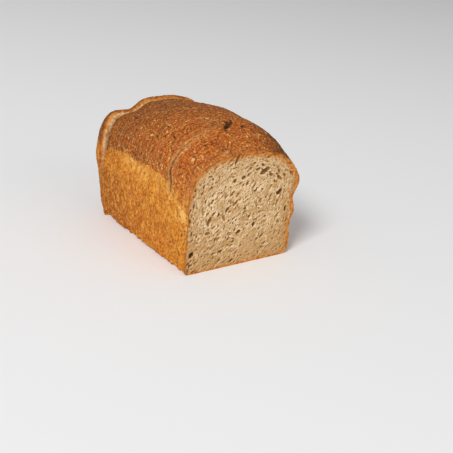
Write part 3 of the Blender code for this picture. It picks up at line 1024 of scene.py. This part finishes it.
def new_material(name, roughness, specular):
    """A material and its tree, with only the shader's own plain sockets set."""
    made = bpy.data.materials.new(name)
    made.use_nodes = True
    shader = made.node_tree.nodes["Principled BSDF"]
    shader.inputs["Roughness"].default_value = roughness
    shader.inputs["Specular IOR Level"].default_value = specular
    return made, made.node_tree, shader


def attribute(tree, name):
    return add_node(tree, "ShaderNodeAttribute", attribute_name=name).outputs["Fac"]


def mix(tree, share, first, second):
    inputs = {"Fac": share, "Color1": first, "Color2": second}
    return add_node(tree, "ShaderNodeMixRGB", inputs).outputs["Color"]


def spread(tree, value, low, high, to_low=0.0, to_high=1.0):
    """The value, with low to high drawn out to 0 to 1 or to the other range given, and clamped."""
    ends = {"Value": value, "From Min": low, "From Max": high, "To Min": to_low, "To Max": to_high}
    made = add_node(tree, "ShaderNodeMapRange", ends, interpolation_type="SMOOTHSTEP")
    return made.outputs["Result"]


def times(tree, first, second, operation="MULTIPLY"):
    return add_node(tree, "ShaderNodeMath", {0: first, 1: second}, operation=operation).outputs["Value"]


def object_place(tree, scale=(1.0, 1.0, 1.0), turn=0.0):
    """Object coordinates in millimetres, turned about Z and then with each axis drawn out by its scale."""
    place = add_node(tree, "ShaderNodeTexCoord").outputs["Object"]
    inputs = {"Vector": place, "Rotation": (0.0, 0.0, turn), "Scale": tuple(MM / share for share in scale)}
    return add_node(tree, "ShaderNodeMapping", inputs, vector_type="TEXTURE").outputs["Vector"]


def cloud(tree, place, size, detail=3.0, roughness=0.55, distortion=0.0):
    """Blender's noise texture with lumps of this many millimetres."""
    inputs = {
        "Vector": place,
        "Scale": 1.0 / size,
        "Detail": detail,
        "Roughness": roughness,
        "Distortion": distortion,
    }
    return add_node(tree, "ShaderNodeTexNoise", inputs).outputs["Fac"]


def shaken(tree, place, size, amount):
    """The place moved about by up to this many millimetres, in lumps of this size."""
    lumps = add_node(tree, "ShaderNodeTexNoise", {"Vector": place, "Scale": 1.0 / size, "Detail": 2.0})
    inputs = {0: lumps.outputs["Color"], 1: (amount, amount, amount), 2: place}
    return add_node(tree, "ShaderNodeVectorMath", inputs, operation="MULTIPLY_ADD").outputs["Vector"]


def dots(tree, place, spacing, radius, share):
    """Round specks on a jittered grid, of which only this share is there, each of its own size."""
    inputs = {"Vector": place, "Scale": 1.0 / spacing, "Randomness": 1.0}
    cells = add_node(tree, "ShaderNodeTexVoronoi", inputs)
    chance = add_node(tree, "ShaderNodeSeparateColor", {"Color": cells.outputs["Color"]})
    reach = times(tree, chance.outputs["Green"], radius / spacing)
    inside = spread(tree, times(tree, cells.outputs["Distance"], reach, "DIVIDE"), 1.0, 0.45)
    present = spread(tree, chance.outputs["Red"], share, share - 0.02)
    return times(tree, inside, present)


def bump(tree, shader, height, distance, strength=1.0):
    inputs = {"Height": height, "Distance": distance, "Strength": strength}
    tree.links.new(add_node(tree, "ShaderNodeBump", inputs).outputs["Normal"], shader.inputs["Normal"])


def colour_of(colours, colour):
    """The colour of this name, or what a node gives, as it is."""
    return tuple(getattr(colours, colour)) if isinstance(colour, str) else colour


def layered(tree, colours, base, layers):
    """The base with colours laid over it, one after the other. A layer is a pattern, how much of the colour
    lies where it shows most, and the colour. Between the first two may stand the pattern's values where it
    starts to show and where it shows most."""
    made = colour_of(colours, base)
    for pattern, *ends, most, colour in layers:
        share = spread(tree, pattern, *ends, 0.0, most) if ends else times(tree, pattern, most)
        made = mix(tree, share, made, colour_of(colours, colour))
    return made


def crust_material(colours):
    """Golden and mottled where the pan was, brown, wrinkled and flecked with bran over the dome, with painted
    shade in folds, wrinkles and blisters and over the right shoulder and far back.
    """
    material, tree, shader = new_material("baked_crust", 0.65, 0.12)
    names = ("browning", "darkening", "paleness", "gold")
    browned, burnt, lip, gold = [attribute(tree, name) for name in names]
    place = object_place(tree)
    ruddy = cloud(tree, place, 4.5, detail=3.0, roughness=0.6, distortion=0.8)

    mottle = cloud(tree, place, 8.0, detail=4.0)
    down_side = object_place(tree, (1.0, 1.0, 0.6))
    grain = cloud(tree, down_side, 1.3, detail=2.0, roughness=0.6)
    flour = cloud(tree, down_side, 4.0, detail=4.0, roughness=0.75)
    uneven = shaken(tree, object_place(tree, (1.0, 1.0, 0.4)), 6.0, 4.0)
    toned = times(tree, mottle, spread(tree, gold, 0.0, 1.0, -0.04, 0.16), "ADD")
    side = layered(tree, colours, "golden_deep", (
        (toned, 0.42, 0.64, 1.0, "golden"),
        (ruddy, 0.54, 0.66, 0.7, "golden_red"),
        (ruddy, 0.48, 0.36, 0.7, "golden_yellow"),
        (gold, 0.7, 2.0, 0.95, "golden_pale"),
        (gold, 0.0, -1.2, 0.85, "golden_shade"),
        (flour, 0.46, 0.7, 0.9, "golden_light"),
        (flour, 0.5, 0.3, 0.8, "golden_shade"),
        # grain also makes the bump, so its pale and dark grain is partly a painted highlight and painted
        # shade
        (grain, 0.5, 0.69, 0.8, "golden_light"),
        (grain, 0.46, 0.3, 0.85, "golden_shade"),
        (dots(tree, uneven, 2.0, 0.8, 0.4), 0.5, "golden_light"),
        (dots(tree, place, 3.1, 1.5, 0.4), 0.75, "golden_shade"),
        (dots(tree, place, 3.5, 1.6, 0.36), 1.0, "pit"),
        (gold, 1.3, 2.2, 0.6, "golden_pale"),
    ))

    over_dome = shaken(tree, object_place(tree, (0.45, 1.0, 0.45)), 7.0, 5.0)
    slanting = shaken(tree, object_place(tree, (0.5, 1.0, 0.7), 0.9), 6.0, 4.0)
    turned = spread(tree, cloud(tree, place, 11.0), 0.47, 0.53)
    lively = spread(tree, cloud(tree, place, 8.0, detail=2.0), 0.4, 0.58, 0.3, 1.0)
    along, aslant = [cloud(tree, where, 1.9, detail=3.0, roughness=0.65) for where in (over_dome, slanting)]
    streaks = mix(tree, turned, along, aslant)
    strokes = mix(tree, turned, dots(tree, over_dome, 2.2, 0.9, 0.4), dots(tree, slanting, 2.2, 0.9, 0.36))
    patches = cloud(tree, place, 14.0, detail=4.0, roughness=0.65)
    blushes = spread(tree, cloud(tree, place, 9.0, detail=3.0, distortion=0.5), 0.42, 0.62, 0.0, 0.5)
    top_grain = cloud(tree, place, 1.7, detail=4.0, roughness=0.8, distortion=0.3)
    top = layered(tree, colours, "brown_dull", (
        (patches, 0.42, 0.58, 1.0, "brown"),
        (times(tree, spread(tree, gold, 0.0, 1.0, 0.0, 0.45), blushes, "ADD"), 1.0, "brown_warm"),
        (ruddy, 0.54, 0.68, 0.75, "brown_red"),
        (ruddy, 0.46, 0.32, 0.75, "brown_tan"),
        # streaks and top_grain also make the bump: brown_dark in their low places and brown_light on their
        # high ones are partly painted shade and painted highlight
        (times(tree, spread(tree, streaks, 0.47, 0.34), lively), 1.0, "brown_dark"),
        (top_grain, 0.48, 0.38, 1.0, "brown_dark"),
        (times(tree, spread(tree, streaks, 0.53, 0.63), lively), 1.0, "brown_light"),
        (top_grain, 0.53, 0.62, 1.0, "brown_light"),
        (dots(tree, over_dome, 1.9, 0.8, 0.3), 0.6, "brown_dark"),
        (strokes, 1.0, "stroke"),
        (dots(tree, place, 2.7, 1.4, 0.33), 1.0, "fleck"),
    ))

    ragged = times(tree, browned, spread(tree, flour, 0.3, 0.7, -0.35, 0.35), "SUBTRACT")
    skin = layered(tree, colours, side, (
        (ragged, 0.25, 0.75, 1.0, top),
        # Pale lips; on the fold's raised lip this is partly a painted highlight
        (lip, 1.0, "lip"),
        # Painted shade in folds, wrinkles and blisters, over the right shoulder and towards the far back
        (burnt, 1.0, "burnt"),
    ))
    tree.links.new(skin, shader.inputs["Base Color"])
    relief = times(tree, times(tree, streaks, browned), grain, "ADD")
    relief = times(tree, relief, top_grain, "ADD")
    bump(tree, shader, relief, CRUST_BUMP, 1.0)
    return material


def crumb_material(colours):
    """Pale bread full of pores, with painted shade in them and a painted highlight on the walls between them,
    bran specks, and toasted where it meets the crust.
    """
    material, tree, shader = new_material("crumb", 0.95, 0.1)
    hollow, pit, inset, tone = [attribute(tree, name) for name in ("hollow", "pit", "inset", "tone")]
    place = object_place(tree)
    patches = cloud(tree, place, 7.0, detail=4.0, roughness=0.6)
    clouds = cloud(tree, place, 20.0, detail=2.0)
    grain = cloud(tree, place, 1.1, detail=3.0, roughness=0.7)
    broken = times(tree, inset, spread(tree, cloud(tree, place, 2.2), 0.35, 0.65, 0.55, 1.6))
    outer = layered(tree, colours, "brown", ((patches, 0.4, 0.6, 1.0, "brown_light"),))
    bread = layered(tree, colours, "crumb", (
        (clouds, 0.4, 0.6, 1.0, "crumb_pale"),
        (grain, 0.5, 0.66, 0.6, "crumb_light"),
        # Where pit is below 0 lie the walls between pores: a painted highlight
        (pit, 0.0, -0.5, 0.8, "crumb_light"),
        (tone, 0.15, -0.35, 0.75, "crumb_light"),
        (patches, 0.5, 0.66, 0.4, "crumb_warm"),
        (tone, 0.4, 0.9, 0.6, "crumb_warm"),
        (inset, 6.0, 1.5, 0.3, "crumb_warm"),
        # Painted shade in the pits and deep pores, and tiny dark dots painted as shaded pores
        (pit, 0.1, 0.7, 1.0, "pore"),
        (hollow, 0.28, 0.8, 1.0, "pore_deep_shade"),
        (dots(tree, place, 1.7, 0.8, 0.3), 1.0, "pore"),
        (dots(tree, place, 2.6, 1.0, 0.25), 1.0, "bran"),
        (broken, 1.2, 0.5, 1.0, "crust_edge"),
        (broken, 0.5, 0.28, 0.85, outer),
    ))
    tree.links.new(bread, shader.inputs["Base Color"])
    bump(tree, shader, grain, CRUMB_BUMP, 0.6)
    return material


def flake_material(colours):
    material, tree, shader = new_material("bran", 0.7, 0.3)
    grain = cloud(tree, object_place(tree), 0.7)
    bran = layered(tree, colours, "flake_dark", (
        (attribute(tree, "tone"), 1.0, "flake_light"),
        (grain, 0.5, 0.3, 0.6, "brown"),
    ))
    tree.links.new(bran, shader.inputs["Base Color"])
    return material


def floor_material(colours):
    material, tree, shader = new_material("pale_floor", 0.9, 0.1)
    haze = cloud(tree, object_place(tree), 900.0)
    shade = layered(tree, colours, "floor", ((haze, 1.0, "floor_shade"),))
    tree.links.new(shade, shader.inputs["Base Color"])
    return material


# What a user may change


COLOURS = {
    "golden": ("The crust of the sides", (0.63, 0.21, 0.019)),
    # golden_light and golden_shade on the grain are partly a painted highlight and painted shade on its bumps
    "golden_light": ("The palest grain of the sides", (0.9, 0.41, 0.062)),
    "golden_pale": ("The palest band of the sides", (0.97, 0.56, 0.16)),
    "golden_deep": ("The more baked patches of the sides", (0.52, 0.15, 0.015)),
    "golden_red": ("The redder spots of the sides", (0.58, 0.14, 0.018)),
    "golden_yellow": ("The yellower spots of the sides", (0.74, 0.32, 0.03)),
    "golden_shade": ("The dark grain of the sides", (0.34, 0.085, 0.009)),
    "pit": ("The small dark specks of the sides", (0.2, 0.055, 0.012)),
    "brown": ("The crust of the dome", (0.36, 0.092, 0.016)),
    "brown_warm": ("Redder patches of the dome, most of them near the cut", (0.53, 0.115, 0.014)),
    "brown_dull": ("Duller patches of the dome", (0.28, 0.078, 0.016)),
    "brown_red": ("Reddest spots of the dome", (0.5, 0.085, 0.016)),
    "brown_tan": ("Ochre spots of the dome", (0.46, 0.17, 0.035)),
    # brown_light and brown_dark are partly a painted highlight on the wrinkles' ridges and painted shade
    # between them
    "brown_light": ("Ridges of the wrinkles", (0.7, 0.265, 0.05)),
    "brown_dark": ("Between the wrinkles", (0.12, 0.028, 0.005)),
    "stroke": ("The thin pale strokes of the dome", (0.78, 0.35, 0.085)),
    "fleck": ("The pale flecks of the dome", (0.8, 0.42, 0.13)),
    # lip is partly a painted highlight on the fold's raised lip
    "lip": ("The pale edges of folds and of the cuts", (0.7, 0.36, 0.12)),
    # Painted shade: the bottoms of folds, wrinkles and blisters, the right shoulder and the far back
    "burnt": ("The bottoms of folds and blisters", (0.045, 0.022, 0.008)),
    "crumb": ("The bread inside", (0.64, 0.41, 0.195)),
    "crumb_pale": ("Paler parts of the bread inside", (0.77, 0.525, 0.28)),
    "crumb_warm": ("Warmer patches of the bread inside", (0.52, 0.275, 0.085)),
    # crumb_light is partly a painted highlight on the walls between pores; pore and pore_deep_shade are
    # painted shade in the pores
    "crumb_light": ("The walls between the pores", (0.93, 0.7, 0.445)),
    "pore": ("The shallow pores", (0.31, 0.16, 0.056)),
    "pore_deep_shade": ("The bottoms of the large pores", (0.17, 0.075, 0.024)),
    "bran": ("The bran specks in the bread", (0.4, 0.2, 0.085)),
    "crust_edge": ("The crust where it is cut through", (0.6, 0.25, 0.058)),
    "flake_light": ("The palest bran flakes", (0.75, 0.42, 0.17)),
    "flake_dark": ("The darkest bran flakes", (0.4, 0.15, 0.045)),
    "floor": ("The pale floor", (0.92, 0.92, 0.92)),
    "floor_shade": ("The floor's faint unevenness", (0.9, 0.9, 0.905)),
}


def amount_property(name, description, default, **kind):
    return FloatProperty(name=name, description=description, default=default, min=0.0, **kind)


def length_property(name, description, default):
    return amount_property(name, description, default, unit="LENGTH", precision=5)


def count_property(name, description, default, **limits):
    return IntProperty(name=name, description=description, default=default, **limits)


def colour_property(name, description, default):
    return FloatVectorProperty(
        name=name, description=description, default=(*default, 1.0), size=4, min=0.0, max=1.0, subtype="COLOR"
    )


class BreadForm(bpy.types.PropertyGroup):
    wrinkle_height: length_property("Wrinkle height", "How far the dome's fine wrinkles stand out", 0.35 * MM)
    pan_roughness: length_property("Pan roughness", "How uneven the crust is where the pan was", 0.5 * MM)
    scallop_height: length_property("Scallop height", "How far the lumps along the base stand out", 2.8 * MM)
    crumb_roughness: length_property("Crumb roughness", "Unevenness of the crumb between pores", 0.12 * MM)
    pores: count_property("Pores", "Number of smaller pores in a cut face", 560, min=0)
    small_flakes: count_property("Small flakes", "Number of small bran flakes on the dome", 600, min=0)
    levels: count_property("Levels", "Further subdivisions of the smooth loaf", 3, min=1, max=3)


class BreadColours(bpy.types.PropertyGroup):
    __annotations__ = {
        name: colour_property(name.replace("_", " ").capitalize(), use, colour)
        for name, (use, colour) in COLOURS.items()
    }


class BreadStudio(bpy.types.PropertyGroup):
    key_power: amount_property("Key", "Power of the large lamp at the upper left", 103.0, unit="POWER")
    fill_power: amount_property("Fill", "Power of the lamp at the right", 12.0, unit="POWER")
    sky: amount_property("Sky", "Strength of the even light all round", 0.38)
    floor_size: length_property("Floor size", "Side of the floor", 9.0)


# The steps


def baked_bread(context):
    """A new object of the whole bread in its baked form. The form is shaped anew only when a setting has
    changed, so that each step stands alone."""
    form = context.scene.bread_form
    settings = [form.wrinkle_height, form.pan_roughness, form.scallop_height, form.levels]
    kept = bpy.data.meshes.get("baked_form")
    if kept is None or list(kept["settings"]) != settings:
        shaped = dough(form.levels)
        bake(shaped, form)
        kept = shaped.data.copy()
        kept.name = "baked_form"
        kept["settings"] = settings
        remove(shaped)
    bread = bpy.data.objects.new("whole_bread", kept.copy())
    bread.data.materials.append(crust_of(context.scene.bread_colours))
    context.scene.collection.objects.link(bread)
    return bread


def crust_of(colours):
    """The crust's material, the same for every piece."""
    return bpy.data.materials.get("baked_crust") or crust_material(colours)


def tell_new_points(crust):
    """Gives the points made by the knife what their nearest neighbours of the baked surface were given."""
    told = read_attribute(crust, "told") > 0.5
    points = points_of(crust)
    known = np.nonzero(told)[0]
    tree = tree_of(points[known])
    source = known[[tree.find(place)[1] for place in points[~told].tolist()]]
    for name in ("browning", "darkening", "paleness", "gold"):
        values = read_attribute(crust, name)
        values[~told] = values[source]
        write_attributes(crust, **{name: values})
    crust.data.attributes.remove(crust.data.attributes["told"])


def pale_edge(crust):
    """The crust is paler in the last millimetre before the front cut."""
    near_cut = fade(1.2, 0.2, points_of(crust)[:, 1])
    pale = np.maximum(read_attribute(crust, "paleness"), 0.3 * near_cut * read_attribute(crust, "browning"))
    write_attributes(crust, paleness=pale)


def hand_over(crust, crumbs, node):
    """Gives the pieces of one cut to the frame and hides the node's solid. The crust stands for that solid.
    """
    for piece in (crust, *crumbs):
        place_in_frame(piece)
    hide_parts(node)


class BREAD_OT_slice_loaf(bpy.types.Operator):
    """Cuts the loaf out of the baked bread and opens the pores of its cut faces"""

    bl_idname = "bread.slice_loaf"
    bl_label = "Slice the Loaf"

    def execute(self, context):
        form = context.scene.bread_form
        colours = context.scene.bread_colours
        bread = baked_bread(context)
        front, back = crumb_material(colours), crumb_material(colours)
        sides = {(0, -1, 0): (front, FRONT_CUTS), (0, 1, 0): (back, BACK_CUTS)}
        cut(bread, knife_block("loaf_block", *LOAF_BLOCK, sides), "INTERSECT")
        cut(bread, crack_blade(front), "DIFFERENCE")
        names = {"baked_crust": "loaf_crust", front.name: "loaf_crumb", back.name: "loaf_back_crumb"}
        crust, crumb, back_crumb = parted(bread, names)
        tell_new_points(crust)
        pale_edge(crust)
        plain_base(crust)
        pores = named_pores() + fine_pores(form.pores, random.Random(PORE_SEED + 1))
        rough = form.crumb_roughness
        open_crumb(crumb, (0.0, 1.0, 0.0), pores, rough, loaf_toast, PORE_SEED + 3)
        open_crumb(back_crumb, (0.0, -1.0, 0.0), pores, rough, loaf_toast, PORE_SEED + 4)
        hand_over(crust, (crumb, back_crumb), "loaf")
        return {"FINISHED"}


class BREAD_OT_slice_heel(bpy.types.Operator):
    """Cuts the heel from the far end of the baked bread, a little askew, and sets it behind the loaf"""

    bl_idname = "bread.slice_heel"
    bl_label = "Slice the Heel"

    def execute(self, context):
        form = context.scene.bread_form
        bread = baked_bread(context)
        face = crumb_material(context.scene.bread_colours)
        block = knife_block("heel_block", *HEEL_BLOCK, {(0, -1, 0): (face, HEEL_CUTS)})
        block.data.transform(Matrix.Rotation(-HEEL_LEAN, 4, "X"))
        block.data.transform(Matrix.Translation((0.0, LOAF_LENGTH + HEEL_GAP, 0.0)))
        cut(bread, block, "INTERSECT")
        crust, crumb = parted(bread, {"baked_crust": "heel_crust", face.name: "heel_crumb"})
        tell_new_points(crust)
        plain_base(crust)
        pores = fine_pores(form.pores, random.Random(PORE_SEED + 2))
        rough = form.crumb_roughness
        open_crumb(crumb, (0.0, 1.0, 0.0), pores, rough, heel_toast, PORE_SEED + 5, HEEL_OPENNESS, heel_swell)
        set_behind(crust)
        set_behind(crumb)
        hand_over(crust, (crumb,), "heel")
        return {"FINISHED"}


class BREAD_OT_lay_flakes(bpy.types.Operator):
    """Lays the bran flakes on the dome: the larger ones of the loaf's form, and smaller ones between"""

    bl_idname = "bread.lay_flakes"
    bl_label = "Lay the Bran Flakes"

    def execute(self, context):
        bread = baked_bread(context)
        bran = flake_material(context.scene.bread_colours)
        flakes = large_flakes(bread, bran) + small_flakes(bread, bran, context.scene.bread_form.small_flakes)
        remove(bread)
        piece = joined("bran_flakes", flakes)
        place_in_frame(piece)
        return {"FINISHED"}


def large_flakes(bread, bran):
    """The flakes of the loaf's form, on the loaf and on the heel."""
    rng = random.Random(FLAKE_SEED)
    ragged = random.Random(FLAKE_SEED + 1)
    shape = flake_shape(bran, 2)
    places = flake_places(TOP_FLAKES, LOAF_FLAKE_RANGE, rng)
    places += flake_places(HEEL_FLAKES, HEEL_FLAKE_RANGE, rng)
    flakes = []
    for along, angle in places:
        length = rng.uniform(*FLAKE_LENGTHS)
        width = length * rng.uniform(*FLAKE_SLENDERNESS)
        turn = rng.uniform(0.0, math.pi)
        place, normal = on_dome(bread, along, angle)
        flake = lay_flake(shape, place, normal, (length, width, FLAKE_THICKNESS), turn, ragged)
        write_attributes(flake, tone=np.full(len(flake.data.vertices), ragged.random() ** FLAKE_DARKNESS))
        if along > LOAF_LENGTH:
            set_behind(flake)
        flakes.append(flake)
    remove(shape)
    return flakes


def small_flakes(bread, bran, count):
    """Thin shreds of bran on the loaf, most of them lying across it."""
    rng = random.Random(FLAKE_SEED + 2)
    shape = flake_shape(bran, 1)
    flakes = []
    for _ in range(count):
        along = max(rng.uniform(*SHRED_RANGE) * rng.uniform(*SHRED_CROWDING), SHRED_RANGE[0])
        place, normal = on_dome(bread, along, rng.uniform(*FLAKE_ANGLES))
        length = rng.uniform(*SHRED_LENGTHS)
        size = (length, length * rng.uniform(*SHRED_SLENDERNESS), SHRED_THICKNESS)
        flake = lay_flake(shape, place, normal, size, rng.gauss(0.0, SHRED_STRAYING), rng)
        write_attributes(flake, tone=np.full(len(flake.data.vertices), rng.random() ** SHRED_DARKNESS))
        flakes.append(flake)
    remove(shape)
    return flakes


def set_behind(piece):
    """Gives a piece of the heel its place a little askew behind the loaf."""
    piece.data.transform(Matrix.Diagonal((1.0, 1.0, HEEL_RISE, 1.0)))
    piece.data.transform(Matrix.Translation((HEEL_SHIFT, 0.0, 0.0)))


def on_dome(bread, along, angle):
    """Where a ray from the loaf's heart meets the crust, and the normal there."""
    heart = Vector((DOME_HEART[0], along, DOME_HEART[2]))
    found, place, normal, _ = bread.ray_cast(heart, Vector((math.cos(angle), 0.0, math.sin(angle))))
    if not found:
        raise RuntimeError("a flake's ray met no crust")
    return place, normal


class BREAD_OT_set_stage(bpy.types.Operator):
    """Lays the pale floor, hangs the lamps and sets the camera as the loaf was seen"""

    bl_idname = "bread.set_stage"
    bl_label = "Set the Stage"

    def execute(self, context):
        studio = context.scene.bread_studio
        floor = added(bpy.ops.mesh.primitive_plane_add, "floor", size=studio.floor_size)
        floor.data.materials.append(floor_material(context.scene.bread_colours))
        add_lamp("key", studio.key_power, KEY_SIZE, KEY_PLACE)
        add_lamp("fill", studio.fill_power, FILL_SIZE, FILL_PLACE)
        world = bpy.data.worlds.new("even_light")
        world.use_nodes = True
        background = world.node_tree.nodes["Background"]
        background.inputs["Color"].default_value = WHITE
        background.inputs["Strength"].default_value = studio.sky
        context.scene.world = world
        context.scene.view_settings.view_transform = "Standard"
        set_camera(context.scene)
        return {"FINISHED"}


def add_lamp(name, power, size, place):
    """A square lamp that faces the middle of the loaf."""
    lamp = added(bpy.ops.object.light_add, name, type="AREA", location=place)
    lamp.data.energy = power
    lamp.data.size = size
    lamp.rotation_euler = (LAMP_TARGET - Vector(place)).to_track_quat("-Z", "Y").to_euler()


def set_camera(scene):
    """The camera at the place and angle from which the loaf was seen, in the bread's own coordinates."""
    camera = added(bpy.ops.object.camera_add, "camera", location=CAMERA_PLACE - MIDDLE)
    forward = Vector((
        math.sin(CAMERA_TURN) * math.cos(CAMERA_TILT),
        math.cos(CAMERA_TURN) * math.cos(CAMERA_TILT),
        -math.sin(CAMERA_TILT),
    ))
    level = forward.to_track_quat("-Z", "Y")
    camera.rotation_mode = "QUATERNION"
    camera.rotation_quaternion = Matrix.Rotation(-CAMERA_ROLL, 3, forward).to_quaternion() @ level
    camera.data.sensor_width = CAMERA_SENSOR
    camera.data.lens = CAMERA_FOCAL
    camera.data.clip_start, camera.data.clip_end = CAMERA_REACH
    scene.camera = camera


class BREAD_PT_steps(bpy.types.Panel):
    """The steps and what can be changed"""

    bl_idname = "BREAD_PT_steps"
    bl_label = "Whole Wheat Bread"
    bl_space_type = "VIEW_3D"
    bl_region_type = "UI"
    bl_category = "Bread"

    def draw(self, context):
        for step in STEPS:
            self.layout.operator(step.bl_idname)
        for group in (context.scene.bread_form, context.scene.bread_colours, context.scene.bread_studio):
            box = self.layout.box()
            for name in group.bl_rna.properties.keys():
                if name not in ("rna_type", "name"):
                    box.prop(group, name)


GROUPS = {"bread_form": BreadForm, "bread_colours": BreadColours, "bread_studio": BreadStudio}
STEPS = (BREAD_OT_slice_loaf, BREAD_OT_slice_heel, BREAD_OT_lay_flakes, BREAD_OT_set_stage)


def register():
    for made in (*GROUPS.values(), *STEPS, BREAD_PT_steps):
        bpy.utils.register_class(made)
    for name, group in GROUPS.items():
        setattr(bpy.types.Scene, name, PointerProperty(type=group))


def unregister():
    for name in GROUPS:
        delattr(bpy.types.Scene, name)
    for made in reversed((*GROUPS.values(), *STEPS, BREAD_PT_steps)):
        bpy.utils.unregister_class(made)


def main():
    register()
    bpy.ops.bread.slice_loaf()
    bpy.ops.bread.slice_heel()
    bpy.ops.bread.lay_flakes()
    bpy.ops.bread.set_stage()


if __name__ == "__main__":
    main()
